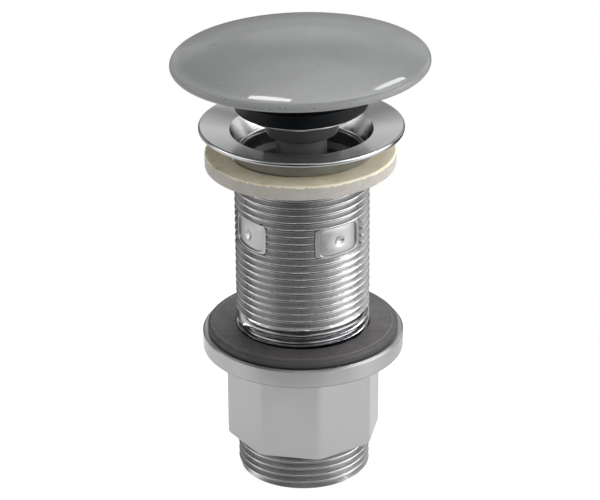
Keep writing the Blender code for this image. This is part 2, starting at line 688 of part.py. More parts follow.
def return_spring(parts):
    """Coil spring of round wire with closed end turns, from the end plug to the thrust washer."""
    closed_pitch = 2 * WIRE_RADIUS + COIL_GAP
    end_rise = closed_pitch * SPRING_END_TURNS
    rise = SPRING_TOP - SPRING_BOTTOM - 2 * WIRE_RADIUS
    open_turns = SPRING_TURNS - 2 * SPRING_END_TURNS
    curve = bpy.data.curves.new("return_spring", "CURVE")
    curve.dimensions = "3D"
    curve.bevel_depth = WIRE_RADIUS
    curve.bevel_resolution = CORD_RESOLUTION
    curve.use_fill_caps = True
    spline = curve.splines.new("POLY")
    count = SPRING_TURNS * SPRING_TURN_STEPS
    spline.points.add(count)
    for index, point in enumerate(spline.points):
        turn = index / SPRING_TURN_STEPS
        open_share = min(max(turn - SPRING_END_TURNS, 0) / open_turns, 1)
        closed_turns = turn - open_share * open_turns
        height = WIRE_RADIUS + closed_turns * closed_pitch + open_share * (rise - 2 * end_rise)
        angle = math.tau * turn
        point.co = (SPRING_RADIUS * math.cos(angle), SPRING_RADIUS * math.sin(angle), height, 1)
    spring = new_piece("return_spring", curve, parts, SPRING_BOTTOM)
    add_material(spring, STEEL)
    return spring


def plunger(parts):
    """Plunger: tapped shaft, stop collar and the grooved stem that carries the drum."""
    groove = STEM_RADIUS - CLIP_GROOVE_DEPTH
    tapped = STUD_RADIUS + GAP
    base = STEM_BOTTOM
    outline = [
        (0, STUD_BOTTOM - GAP - base),
        (tapped, STUD_BOTTOM - GAP - base),
        (tapped, PLUNGER_TOP - base),
        (SHAFT_RADIUS, PLUNGER_TOP - base),
        (SHAFT_RADIUS, COLLAR_TOP - base),
        (DRUM_RADIUS, COLLAR_TOP - base),
        (DRUM_RADIUS, DRUM_TOP + GAP - base),
        (STEM_RADIUS, DRUM_TOP + GAP - base),
        (STEM_RADIUS, CLIP_BOTTOM + CLIP_THICKNESS + GAP - base),
        (groove, CLIP_BOTTOM + CLIP_THICKNESS + GAP - base),
        (groove, CLIP_BOTTOM - GAP - base),
        (STEM_RADIUS, CLIP_BOTTOM - GAP - base),
        (STEM_RADIUS, 0),
        (0, 0),
    ]
    piece = turned("plunger", outline, parts, base, closed=False)
    add_material(piece, MACHINED)
    return piece


def stem_fittings(parts, cutters):
    """Thrust washer under the drum and the open clip that snaps into the stem's groove."""
    washer = ring(
        "thrust_washer", STEM_RADIUS + GAP, CARTRIDGE_BORE - THRUST_CLEARANCE, THRUST_THICKNESS,
        parts, THRUST_BOTTOM)
    add_material(washer, STEEL)
    groove = STEM_RADIUS - CLIP_GROOVE_DEPTH
    clip = ring("stem_clip", groove + GAP, CLIP_RADIUS, CLIP_THICKNESS, parts, CLIP_BOTTOM)
    mouth = block(
        "clip_mouth", (CLIP_RADIUS * 2, (groove + GAP) * CLIP_MOUTH_SHARE, CLIP_RADIUS), cutters,
        CLIP_BOTTOM + CLIP_THICKNESS / 2)
    mouth.location.x = CLIP_RADIUS
    combine(clip, mouth)
    add_material(clip, STEEL)
    return [washer, clip]


def plug_lower(parts):
    """Sleeve, clamping disc, seal and hub of the plug, from the skirt up."""
    skirt = SLEEVE_NECK_RADIUS + SKIRT_STEP
    outline = rounded([
        (SLEEVE_NECK_RADIUS, SKIRT_LENGTH + SLEEVE_NECK, 0),
        (SLEEVE_NECK_RADIUS, SKIRT_LENGTH, 0),
        (skirt, SKIRT_LENGTH, 0),
        (skirt, 0, EDGE_BREAK),
        (SLEEVE_BORE, 0, 0),
        (SLEEVE_BORE, SKIRT_LENGTH + SLEEVE_NECK, 0),
    ])
    sleeve = turned("plug_sleeve", outline, parts, SKIRT_BOTTOM)
    add_material(sleeve, GREY_MOULDING)

    disc = ring(
        "seal_washer", PLUG_BORE, SEAL_FOOT_RADIUS - DISC_INSET, DISC_THICKNESS, parts,
        DISC_BOTTOM, steps=MEDIUM_STEPS)
    add_material(disc, CHROME)

    edge_top = SEAL_BEVEL + SEAL_EDGE
    outline = rounded([
        (SEAL_RADIUS, edge_top, EDGE_BREAK),
        (SEAL_RADIUS, SEAL_BEVEL, EDGE_BREAK),
        (SEAL_FOOT_RADIUS, 0, EDGE_BREAK),
        (PLUG_BORE, 0, 0),
        (PLUG_BORE, SEAL_WEB, 0),
        (SEAL_RADIUS - SEAL_LIP, SEAL_WEB, 0),
        (SEAL_RADIUS - SEAL_LIP, edge_top, EDGE_BREAK),
    ])
    seal = turned("plug_seal", outline, parts, SEAL_BOTTOM, MEDIUM_STEPS)
    add_material(seal, BLACK_RUBBER)

    o_ring_room = O_RING_WIRE + GAP
    groove_floor = HUB_BODY_HEIGHT - O_RING_WIRE * 2 - GAP
    plate_bottom = HUB_BODY_HEIGHT - HUB_BODY_PLATE
    outline = rounded([
        (HUB_BODY_RADIUS, HUB_BODY_HEIGHT, EDGE_BREAK),
        (HUB_BODY_RADIUS, HUB_BODY_FOOT + HUB_BODY_INSET, HUB_BODY_INSET),
        (HUB_BODY_FOOT_RADIUS, HUB_BODY_FOOT, 0),
        (HUB_BODY_FOOT_RADIUS, 0, 0),
        (PLUG_BORE, 0, 0),
        (PLUG_BORE, plate_bottom, 0),
        (STUD_RADIUS + GAP, plate_bottom, 0),
        (STUD_RADIUS + GAP, HUB_BODY_HEIGHT, 0),
        (O_RING_RADIUS - o_ring_room, HUB_BODY_HEIGHT, 0),
        (O_RING_RADIUS - o_ring_room, groove_floor, 0),
        (O_RING_RADIUS + o_ring_room, groove_floor, 0),
        (O_RING_RADIUS + o_ring_room, HUB_BODY_HEIGHT, 0),
    ])
    hub = turned("plug_body", outline, parts, HUB_BODY_BOTTOM, MEDIUM_STEPS)
    add_material(hub, BLACK_MOULDING)
    return [sleeve, disc, seal, hub]


def plug_fasteners(parts, cutters):
    """Stud, lock nut and O-ring that tie the cap and the hub to the plunger."""
    stud_top = CAP_BOTTOM + STUD_IN_INSERT
    stud = cylinder("centre_stud", STUD_RADIUS, stud_top - STUD_BOTTOM, parts, STUD_BOTTOM)
    add_material(stud, STEEL)

    nut = prism(
        "stud_nut", 6, STUD_RADIUS + GAP + NUT_FLAT_WALL, NUT_THICKNESS, 0, 0, parts, NUT_BOTTOM)
    tapping = cylinder(
        "nut_bore", STUD_RADIUS + GAP, NUT_THICKNESS + 2 * CUT_OVERRUN, cutters,
        NUT_BOTTOM - CUT_OVERRUN)
    combine(nut, tapping)
    add_material(nut, MACHINED)

    section = arc((O_RING_RADIUS, 0), O_RING_WIRE, 0, math.tau, BALL_STEPS)[:-1]
    level = HUB_BODY_TOP - O_RING_WIRE
    o_ring = turned("stud_o_ring", section, parts, level)
    add_material(o_ring, BLACK_RUBBER)
    return [stud, nut, o_ring]


def cap(parts):
    """Glazed dome with a rounded rim, a foot ring, a seat and the socket of the threaded bush."""
    dome_centre = CAP_HEIGHT - CAP_DOME_RADIUS
    shoulder_radius = CAP_RADIUS - CAP_SHOULDER
    reach = CAP_DOME_RADIUS - CAP_SHOULDER
    rim = dome_centre + math.sqrt(reach ** 2 - shoulder_radius ** 2)
    edge = min(CAP_EDGE, rim)
    meet = math.asin(shoulder_radius / reach)
    dome = arc((0, dome_centre), CAP_DOME_RADIUS, 0, meet, DOME_STEPS)
    shoulder = arc((shoulder_radius, rim), CAP_SHOULDER, meet, math.pi / 2, FILLET_STEPS + 1)
    under = arc((CAP_RADIUS - edge, edge), edge, math.pi / 2, math.pi, FILLET_STEPS)
    recess_outer = CAP_RADIUS - edge - CAP_FOOT_WIDTH
    seat_radius = HUB_BODY_RADIUS + CAP_SEAT_MARGIN
    socket = INSERT_RADIUS + GAP
    bottom = [
        (recess_outer, 0),
        (recess_outer - CAP_RECESS_DEPTH, CAP_RECESS_DEPTH),
        (seat_radius + CAP_RECESS_DEPTH, CAP_RECESS_DEPTH),
        (seat_radius, 0),
        (socket, 0),
        (socket, INSERT_HEIGHT + GAP),
        (0, INSERT_HEIGHT + GAP),
    ]
    piece = turned(
        "cap", dome + shoulder[1:] + under + bottom, parts, CAP_BOTTOM, LARGE_STEPS, closed=False)
    add_material(piece, GLAZE)
    insert = ring(
        "cap_insert", STUD_RADIUS + GAP, INSERT_RADIUS, INSERT_HEIGHT, parts, CAP_BOTTOM)
    add_material(insert, MACHINED)
    return [piece, insert]


def carry(name, pieces, level, parent=None):
    """Put pieces on an empty that stands on their joint's axis, without moving them."""
    carrier = bpy.data.objects.new(name, None)
    carrier.location = (0, 0, level)
    bpy.context.scene.collection.objects.link(carrier)
    bpy.context.view_layer.update()
    if parent:
        carrier.parent = parent
        carrier.matrix_parent_inverse = parent.matrix_world.inverted()
        bpy.context.view_layer.update()
    for piece in pieces:
        piece.parent = carrier
        piece.matrix_parent_inverse = carrier.matrix_world.inverted()
    return carrier


def main():
    """Build the waste from the tail upwards, then the plug and its mechanism."""
    clear_scene()
    parts = new_collection("sprung_plug_basin_waste")
    cutters = new_collection("cutters")
    tail_body, tail_washer = tail(parts, cutters)
    waste_tube(parts, cutters)
    flange_seals(parts)
    spider(parts, cutters)
    cartridge(parts, cutters)
    return_spring(parts)
    drum = index_drum(parts, cutters)
    moving = [plunger(parts)]
    moving += stem_fittings(parts, cutters)
    moving += plug_lower(parts)
    moving += plug_fasteners(parts, cutters)
    moving += cap(parts)
    plug_axis = carry("plug_axis", moving, SEAL_BOTTOM)
    carry("drum_axis", [drum], DRUM_BOTTOM, plug_axis)
    washer_axis = carry("tail_washer_axis", [tail_washer], TAIL_WASHER_BOTTOM)
    carry("tail_axis", [tail_body], TAIL_TOP, washer_axis)


main()
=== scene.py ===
"""Sprung plug basin waste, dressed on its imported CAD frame.

Each visible piece is a smooth surface worked out on a grid, in millimetres, in the CAD's own place.
"""

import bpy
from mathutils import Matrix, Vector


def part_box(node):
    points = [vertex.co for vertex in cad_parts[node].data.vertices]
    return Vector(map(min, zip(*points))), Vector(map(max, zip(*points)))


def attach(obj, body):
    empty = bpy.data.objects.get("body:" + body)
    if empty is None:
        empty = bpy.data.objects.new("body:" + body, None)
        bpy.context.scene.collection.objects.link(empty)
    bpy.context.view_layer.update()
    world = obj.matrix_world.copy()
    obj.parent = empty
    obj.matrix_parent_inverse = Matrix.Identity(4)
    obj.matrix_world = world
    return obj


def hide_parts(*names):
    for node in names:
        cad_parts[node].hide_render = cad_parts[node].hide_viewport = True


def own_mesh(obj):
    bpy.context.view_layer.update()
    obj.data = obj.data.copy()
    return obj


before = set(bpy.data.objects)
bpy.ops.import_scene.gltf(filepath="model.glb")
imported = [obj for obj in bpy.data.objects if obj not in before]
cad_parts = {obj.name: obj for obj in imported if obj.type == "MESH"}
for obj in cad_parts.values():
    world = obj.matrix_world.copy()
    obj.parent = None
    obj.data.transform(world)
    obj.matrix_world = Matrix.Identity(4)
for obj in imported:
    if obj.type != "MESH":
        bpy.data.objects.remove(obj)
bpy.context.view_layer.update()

import math

import bmesh
import bpy
import numpy as np
from mathutils import Matrix, Vector

bl_info = {
    "name": "Sprung plug basin waste",
    "version": (1, 0, 0),
    "blender": (4, 5, 0),
    "location": "View3D > Sidebar > Basin waste",
    "description": "Builds the smooth pieces, finishes and studio of a sprung plug basin waste",
    "category": "Add Mesh",
}

MM = 0.001
TAU = 2 * math.pi

# Angle of the line that faces the camera, on which the threads' heights are given
FRONT = 1.5 * math.pi

# Gap between pieces that slide or sit in each other, and sizes that two pieces share
CLEARANCE = 0.3
SLEEVE_WALL = 1.5
SPIDER_HUB_HEIGHT = 2.8

# Thread of the body and of the tail, as the photograph shows its turns: right-hand. The arcs at the
# root and crest are shares of the pitch.
PITCH = 2.36
THREAD_RADIUS = 20.955
THREAD_DEPTH = 1.479
CREST_WEAR = 0.06
ROOT_ARC = 0.09
CREST_ARC = 0.05

# Places on a turn, as shares of the pitch, that get a row of points: close at its arcs, or even
THREAD_PHASES = (0.0, 0.045, 0.09, 0.45, 0.475, 0.5, 0.525, 0.55, 0.91, 0.955)
EVEN_PHASES = tuple((step / 15 + 0.5) % 1.0 for step in range(-7, 8))

# Heights where crests cross the front line: the long thread's last, and one of the tail's
LAST_CREST = 56.56
TAIL_CREST = 7.33

# Turns below the last crest, as heights on the front line and shares of the thread's depth
FOOT_TOP, FOOT_END = 57.3, 47.6
FOOT_FORM = (
    (47.78, 0.93), (47.9, 1.0), (48.02, 0.93), (48.4, 0.10), (49.0, 0.0), (49.95, 0.05), (50.30, 0.93),
    (50.40, 1.0), (50.50, 0.93), (50.9, 0.10), (51.3, 0.0), (52.2, 0.05), (52.65, 0.93), (52.75, 1.0),
    (52.85, 0.93), (53.3, 0.10), (53.8, 0.0), (54.8, 0.0), (55.15, 0.12), (55.42, 0.62), (55.56, 0.68),
    (55.70, 0.55), (56.15, 0.38), (56.42, 0.92), (56.56, 1.0))

# The same above the third crest, where the recess fills up past an angle to the left of the front
FILLED_FROM = 52.75
FILLED_EDGE = math.radians(-50)
FILLED_BLEND = math.radians(16)
FILLED_FORM = ((52.75, 1.0), (52.9, 0.93), (55.9, 0.45), (56.4, 0.85), (56.56, 1.0))

# How far the plug sits to the left of the middle
PLUG_SHIFT = -0.2

# How the foam washer sits: its right side higher, its middle to the left
FOAM_LEAN = math.radians(0.74)
FOAM_SHIFT = -0.35

# Windows of the body: azimuths, height of the middle, and distances of the panel and ledge from the axis
WINDOW_AZIMUTHS = (-54.4, 35.6, 124.0, -148.25)
WINDOW_LEVEL = 84.25
DIMPLE_DROP = 0.4
PANEL_FLOOR = 19.55
LEDGE_FLOOR = 20.0

# Dark chips at the windows: azimuth, height, distance from the axis, radius
CHIPS = (
    (-76.0, 89.3, 20.5, 0.60), (-127.0, 89.4, 20.5, 0.60), (-29.3, 85.7, 20.8, 0.60),
    (-28.5, 84.0, 20.8, 0.75), (-30.3, 82.4, 20.6, 0.60), (-27.3, 87.3, 20.9, 0.40))

# Hairline scratch on the cap: its middle, half length and lowest level, and its bow for each metre
SCRATCH_PLACE = (-26.2, 2.1)
SCRATCH_REACH = 1.5
SCRATCH_LEVEL = 137.0
SCRATCH_BOW = 300.0

# Distance of the grey washer's ridge line from its edge
WASHER_RIDGE = 1.9

# Height where the body's neck flares out from the thread
NECK_LEVEL = 108.7

# Undersides of the tail's flange and of its octagon
TAIL_FLANGE_FOOT = 41.6
OCTAGON_FOOT = 12.4

# Tint of chrome where it is seen at a grazing angle
EDGE_TINT = (0.5, 0.5, 0.5, 1.0)

# Light of the room: its level, then rings of glows. A ring has an elevation, the half angles of its
# glows' full and fading parts, and its glows as azimuth and level.
ROOM_LEVEL = 0.02
GLOW_RINGS = (
    (4, 0, 20, ((0, 0.15),)),
    (16, 0, 20, ((-80, 3.2), (-40, 0.7), (0, 0.45), (40, 1.5), (80, 5.5))),
    (52, 0, 20, ((-80, 0.5), (0, 1.6), (20, 1.1), (40, 4.1))),
    (64, 0, 20, ((-20, 2.3), (0, 1.25), (40, 3.4), (60, 1.75))),
    (5, 0, 34, ((108, 1.95), (144, 1.55), (-144, 0.35), (-108, 1.65))),
    (27, 0, 34, ((108, 2.9), (180, 0.35), (-144, 0.3), (-108, 0.15))),
    (68, 0, 34, ((180, 0.4),)),
    (-38, 0, 42, ((-90, 0.8), (-45, 1.05), (90, 1.45))),
    (48, 3, 12, ((180, 2.2),)),
    (19, 2, 10, ((0, 0.75),)),
    (13, 3, 9, ((17, 0.7), (-17, 0.7))),
)

# Soft boxes: name, azimuth, elevation, roll, width and height in metres, power in watts
BOX_DISTANCE = 0.9
BOX_TARGET = (0, 0, 0.12)
SOFT_BOXES = (
    ("box_left", -15.1, 58.0, -40.8, (0.155, 0.028), 0.40),
    ("box_back", 23.3, 44.3, 86.3, (0.181, 0.024), 0.27),
    ("box_right", 68, 48, -10, (0.41, 0.06), 0.9),
)

# Floor: a disc under the part, just below it, that glows like a light table
FLOOR_RADIUS = 0.13
FLOOR_DROP = 0.0001
FLOOR_GLOW = 0.86

# Camera, solved from the outlines of the round pieces: lens and sensor in millimetres, place in metres
CAMERA_LENS = 152.5
CAMERA_SENSOR = 36.0
CAMERA_SHIFT = -0.0041
CAMERA_PLACE = (0.0, -0.7189, 0.4040)
CAMERA_DIP = math.radians(24.68)
CAMERA_ROLL = math.radians(-0.461)


def span(node):
    """Outer radius, bottom and top of a CAD node, in millimetres, read from its box."""
    low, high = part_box(node)
    return high.x / MM, low.z / MM, high.z / MM


# shapes


def rounded(corners, steps=6, closed=True):
    """Profile of straight sides whose corners (r, z, fillet) become arcs tangent to both sides.

    A support point lies on each side just outside an arc, which keeps the shading of the side flat.
    """
    corners = np.array(corners, float)
    count = len(corners)
    parts = []
    for index, fillet in enumerate(corners[:, 2]):
        here = corners[index, :2]
        at_end = not closed and index in (0, count - 1)
        if fillet == 0 or at_end:
            parts.append(here[None])
            continue
        back, ahead = corners[index - 1, :2] - here, corners[(index + 1) % count, :2] - here
        back_length, ahead_length = np.hypot(*back), np.hypot(*ahead)
        back, ahead = back / back_length, ahead / ahead_length
        half = math.acos(np.clip(back @ ahead, -1, 1)) / 2
        reach = min(fillet / math.tan(half), 0.47 * back_length, 0.47 * ahead_length)
        middle = (back + ahead) / np.hypot(*(back + ahead))
        centre = here + middle * reach / math.cos(half)
        start, end = here + back * reach - centre, here + ahead * reach - centre
        sweep = math.atan2(start[0] * end[1] - start[1] * end[0], start @ end)
        turn = np.linspace(0, sweep, steps + 1)[:, None]
        square = np.array([-start[1], start[0]])
        margin = reach * 1.05
        parts += [
            (here + back * min(margin, 0.48 * back_length))[None],
            centre + start * np.cos(turn) + square * np.sin(turn),
            (here + ahead * min(margin, 0.48 * ahead_length))[None]]
    return np.vstack(parts)


def swept_arc(centre, radius, start, end, steps):
    """Points on an arc, its angles measured from +Z towards +R: r = cr + R sin a, z = cz + R cos a."""
    angle = np.linspace(start, end, steps + 1)
    return np.stack([centre[0] + radius * np.sin(angle), centre[1] + radius * np.cos(angle)], 1)


def revolve(profile, angles):
    """Grid of the profile turned round Z: x = r cos a, y = r sin a, z = z."""
    profile = np.asarray(profile, float)
    radius, height = profile[:, :1], profile[:, 1:2]
    return np.stack([
        radius * np.cos(angles), radius * np.sin(angles),
        np.broadcast_to(height, (len(profile), len(angles)))], -1)


def thread_grid(low, high, angles, crest, radius_at, phases=THREAD_PHASES):
    """Grid whose rows follow the helix, so that crests and roots stay on rows.

    Row by row, z = crest + pitch * (row + angle from the front / one turn), held between low and high.
    The radius is a function of angle and height.
    """
    turns = np.arange(math.floor((low - crest) / PITCH) - 2, math.ceil((high - crest) / PITCH) + 2)
    rows = (turns[:, None] + np.sort(phases) - 0.5).ravel()[::-1, None]
    height = np.clip(crest + PITCH * (rows + (angles - FRONT) / TAU), low, high)
    angle = np.broadcast_to(angles, height.shape)
    radius = radius_at(angle, height)
    return np.stack([radius * np.cos(angle), radius * np.sin(angle), height], -1)


def front_height(angle, height):
    """Height at which a point's turn of the helix crosses the front line, and its angle from there."""
    around = (angle - FRONT + math.pi) % TAU - math.pi
    return height - PITCH * around / TAU, around


def thread_form(turns):
    """Share of the thread's depth by turns from a crest: 1 at the crest to 0 at the root, both rounded."""
    phase = (turns + 0.5) % 1.0
    across = 1 - np.abs(phase * 2 - 1)
    flank = np.clip((across - 2 * ROOT_ARC) / (1 - 2 * ROOT_ARC - 2 * CREST_ARC), 0, 1)
    root = np.clip(1 - across / (2 * ROOT_ARC), 0, 1)
    crest = np.clip(1 - (1 - across) / (2 * CREST_ARC), 0, 1)
    dip = 0.07
    return dip + (1 - 2 * dip) * flank - dip * (1 - (1 - root) ** 2) + dip * (1 - (1 - crest) ** 2)


def ripple(angle, height, seed, amplitude, waves=(9, 80), rise=(0.3, 3.0), count=24):
    """Smooth periodic noise: a sum of sines of whole angular waves and of height, seeded."""
    draw = np.random.default_rng(seed)
    total = np.zeros(np.broadcast(angle, height).shape)
    for _ in range(count):
        around = draw.integers(waves[0], waves[1])
        up = draw.uniform(rise[0], rise[1]) * draw.choice([-1, 1])
        total = total + np.sin(around * angle + up * height + draw.uniform(0, TAU))
    return amplitude * total / math.sqrt(count / 2)


def skin(name, points, wrap_rows=True, wrap_columns=True, finishes=(), row_finish=None):
    """Mesh object of a grid of points in millimetres, closed where it wraps, faces outwards.

    Points that coincide are merged, which closes poles, seams and the clipped ends of a helix.
    """
    rows, columns = points.shape[:2]
    index = np.arange(rows * columns).reshape(rows, columns)
    if wrap_rows:
        index = np.vstack([index, index[:1]])
    if wrap_columns:
        index = np.hstack([index, index[:, :1]])
    quads = np.stack([index[:-1, :-1], index[1:, :-1], index[1:, 1:], index[:-1, 1:]], -1)
    places = points.reshape(-1, 3) * MM
    faces = quads.reshape(-1, 4)
    corner = places[faces]
    volume = np.einsum(
        "ij,ij->i", corner[:, 0], np.cross(corner[:, 1], corner[:, 2]) + np.cross(corner[:, 2], corner[:, 3]))
    if volume.sum() < 0:
        faces = faces[:, ::-1]
    mesh = bpy.data.meshes.new(name)
    mesh.vertices.add(len(places))
    mesh.vertices.foreach_set("co", places.ravel())
    mesh.loops.add(faces.size)
    mesh.loops.foreach_set("vertex_index", faces.ravel())
    mesh.polygons.add(len(faces))
    mesh.polygons.foreach_set("loop_start", np.arange(0, faces.size, 4))
    if row_finish is not None:
        per_face = np.repeat(np.asarray(row_finish)[: quads.shape[0]], quads.shape[1])
        mesh.polygons.foreach_set("material_index", per_face)
    mesh.update()
    for material in finishes:
        mesh.materials.append(material)
    merge(mesh)
    piece = bpy.data.objects.new(name, mesh)
    bpy.context.scene.collection.objects.link(piece)
    return piece


def merge(mesh, sharp=38.0):
    """Merge points that coincide and shade the mesh smooth, with edges sharp past an angle."""
    bm = bmesh.new()
    bm.from_mesh(mesh)
    bmesh.ops.remove_doubles(bm, verts=bm.verts, dist=0.0002 * MM)
    bmesh.ops.dissolve_degenerate(bm, edges=bm.edges, dist=0.0001 * MM)
    bm.to_mesh(mesh)
    bm.free()
    mesh.shade_smooth()
    mesh.set_sharp_from_angle(angle=math.radians(sharp))


def turned(name, profile, finish, columns=192, closed=True):
    """Closed piece of one finish, turned from a profile."""
    angles = np.linspace(0, TAU, columns, endpoint=False)
    return skin(name, revolve(profile, angles), wrap_rows=closed, finishes=(finish,))


def combine(piece, tool, operation, sharp=32.0):
    """Cut a piece with a closed tool, or join the tool to it, and keep the result as plain mesh."""
    change = piece.modifiers.new(operation.lower(), "BOOLEAN")
    change.operation = operation
    change.solver = "EXACT"
    change.material_mode = "TRANSFER"
    change.object = tool
    bpy.context.view_layer.update()
    evaluated = piece.evaluated_get(bpy.context.evaluated_depsgraph_get())
    mesh = bpy.data.meshes.new_from_object(evaluated)
    piece.modifiers.clear()
    old, piece.data = piece.data, mesh
    bpy.data.meshes.remove(old)
    bpy.data.objects.remove(tool)
    piece.data.shade_smooth()
    piece.data.set_sharp_from_angle(angle=math.radians(sharp))


def leant(piece):
    """Lean a piece of the plug by its play: the right side up, the front down, about the cap's rim."""
    sizes = bpy.context.scene.waste_sizes
    pivot = Matrix.Translation((0, 0, span("cap")[1] * MM))
    turn = Matrix.Rotation(sizes.nod, 4, "X") @ Matrix.Rotation(-sizes.lean, 4, "Y")
    piece.data.transform(Matrix.Translation((PLUG_SHIFT * MM, 0, 0)) @ pivot @ turn @ pivot.inverted())
    return piece


def settle(piece, body, *nodes):
    """Ride on a body in place of CAD nodes, which are hidden."""
    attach(piece, body)
    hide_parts(*nodes)
    return piece


# finishes


def node(tree, kind, inputs=None, **settings):
    """Add a shader node; an input that is a socket is linked, and any other sets the default."""
    made = tree.nodes.new("ShaderNode" + kind)
    for key, value in settings.items():
        setattr(made, key, value)
    for key, value in (inputs or {}).items():
        if isinstance(value, bpy.types.NodeSocket):
            tree.links.new(value, made.inputs[key])
        else:
            made.inputs[key].default_value = value
    return made


def scaled(colour, *shares):
    """A colour with each channel multiplied by its share, or all of them by one."""
    shares = shares * 3 if len(shares) == 1 else shares
    return tuple(channel * share for channel, share in zip(colour, shares))


class Finish:
    """A Principled material under construction, with patterns on Object coordinates."""

    def __init__(self, name, colour, roughness, metallic=0.0, **values):
        self.material = bpy.data.materials.new(name)
        self.material.use_nodes = True
        self.tree = self.material.node_tree
        self.shader = self.tree.nodes["Principled BSDF"]
        self.set("Base Color", (*colour, 1.0))
        self.set("Roughness", roughness)
        self.set("Metallic", metallic)
        for key, value in values.items():
            self.set(key.replace("_", " "), value)
        self.place = node(self.tree, "TexCoord").outputs["Object"]

    def set(self, key, value):
        """Set or link an input of the shader."""
        if isinstance(value, bpy.types.NodeSocket):
            self.tree.links.new(value, self.shader.inputs[key])
        else:
            self.shader.inputs[key].default_value = value

    def stretched(self, x, y, z):
        """Object coordinates scaled along each axis, for patterns that are longer one way."""
        return node(self.tree, "Mapping", {"Vector": self.place, "Scale": (x, y, z)}).outputs[0]

    def noise(self, scale, detail=3.0, rough=0.5, place=None):
        """Noise from 0 to 1 at so many grains per metre."""
        return node(self.tree, "TexNoise", {
            "Vector": place or self.place, "Scale": scale, "Detail": detail,
            "Roughness": rough}).outputs["Fac"]

    def cells(self, scale):
        """Voronoi cells: distance to the nearest point, and a random value for each cell."""
        made = node(self.tree, "TexVoronoi", {"Vector": self.place, "Scale": scale})
        chance = node(self.tree, "SeparateColor", {0: made.outputs["Color"]}).outputs[0]
        return made.outputs["Distance"], chance

    def range(self, value, low, high, to_low=0.0, to_high=1.0, smooth=True):
        """Map low..high to to_low..to_high, clamped."""
        return node(self.tree, "MapRange", {
            "Value": value, "From Min": low, "From Max": high, "To Min": to_low, "To Max": to_high},
            interpolation_type="SMOOTHSTEP" if smooth else "LINEAR").outputs["Result"]

    def math(self, operation, first, second=0.0):
        """Arithmetic on one or two values."""
        return node(self.tree, "Math", {0: first, 1: second}, operation=operation).outputs[0]

    def mix(self, factor, first, second):
        """Colour between first and second."""
        colours = [c if isinstance(c, bpy.types.NodeSocket) else (*c, 1.0) for c in (first, second)]
        return node(
            self.tree, "Mix", {0: factor, 6: colours[0], 7: colours[1]}, data_type="RGBA").outputs[2]

    def axis(self, name):
        """One Object coordinate, in metres."""
        return node(self.tree, "SeparateXYZ", {0: self.place}).outputs[name]

    def reach(self):
        """Distance from the Z axis, in metres: the root of x squared plus y squared."""
        x, y = self.axis("X"), self.axis("Y")
        return self.math("SQRT", self.math("ADD", self.math("MULTIPLY", x, x), self.math("MULTIPLY", y, y)))

    def haze(self, scale, detail, low, high):
        """Roughness that wanders between two values with noise."""
        self.set("Roughness", self.range(self.noise(scale, detail), 0.3, 0.7, low, high))

    def relief(self, *layers):
        """Bump from pairs (height, distance in metres), laid on each other."""
        normal = None
        for height, distance in layers:
            inputs = {"Height": height, "Distance": distance}
            if normal is not None:
                inputs["Normal"] = normal
            normal = node(self.tree, "Bump", inputs).outputs["Normal"]
        self.set("Normal", normal)


def scratch_on(look, height):
    """Share of a hairline scratch: a short parabola on the cap's dome, above its rim."""
    along = look.math("SUBTRACT", look.axis("X"), SCRATCH_PLACE[0] * MM)
    across = look.math("SUBTRACT", look.axis("Y"), SCRATCH_PLACE[1] * MM)
    bow = look.math("MULTIPLY", look.math("MULTIPLY", along, along), SCRATCH_BOW)
    line = look.range(look.math("ABSOLUTE", look.math("ADD", across, bow)), 0.34 * MM, 0.14 * MM)
    ends = look.range(look.math("ABSOLUTE", along), SCRATCH_REACH * MM, (SCRATCH_REACH - 0.4) * MM)
    line = look.math("MULTIPLY", line, ends)
    outside = look.range(height, SCRATCH_LEVEL * MM, (SCRATCH_LEVEL + 1) * MM, 0.0, 0.9)
    return look.math("MULTIPLY", line, outside)


def cap_glaze():
    """Grey stoneware glaze: faint clouding, a lower rim painted paler as painted light, dark specks that
    crowd towards the rim, a clear coat.
    """
    glaze = bpy.context.scene.waste_finishes.glaze
    look = Finish(
        "cap_glaze", glaze, 0.45, Coat_Weight=0.3, Coat_Roughness=0.035, Coat_IOR=1.5,
        Specular_IOR_Level=0.05)
    cloud = look.range(look.noise(70, 4.0), 0.3, 0.7)
    grain = look.range(look.noise(2600, 2.0), 0.3, 0.7)
    body = look.mix(cloud, scaled(glaze, 0.96), scaled(glaze, 1.04))
    body = look.mix(look.math("MULTIPLY", grain, 0.10), body, scaled(glaze, 0.7))
    bottom, height = span("cap")[1], look.axis("Z")
    # Painted light: the glaze is painted paler towards the rim's lower edge, standing in for light from the
    # front.
    pale = look.range(height, (bottom + 3.2) * MM, (bottom + 1.2) * MM)
    body = look.mix(pale, body, scaled(glaze, 1.5))
    distance, luck = look.cells(700)
    dot = look.range(distance, 0.18, 0.09)
    rim = look.range(height, (bottom + 4.2) * MM, (bottom + 1.6) * MM)
    needed = look.math("SUBTRACT", 0.83, look.math("MULTIPLY", rim, 0.35))
    few = look.range(luck, needed, 1.0, smooth=False)
    speck = look.math("MULTIPLY", dot, look.range(few, 0.0, 0.25))
    body = look.mix(look.math("MULTIPLY", speck, 0.75), body, (0.035, 0.036, 0.036))
    look.set("Base Color", look.mix(scratch_on(look, height), body, (0.05, 0.05, 0.05)))
    look.relief((look.noise(900, 2.0), 0.00001), (speck, -0.00003))
    return look.material


def black_moulding():
    """Glossy black plastic of the hub, with faint moulding haze."""
    look = Finish("black_moulding", (0.0055, 0.0068, 0.008), 0.16, Specular_IOR_Level=0.5)
    look.haze(420, 4.0, 0.12, 0.24)
    look.relief((look.noise(700, 3.0), 0.00002))
    return look.material


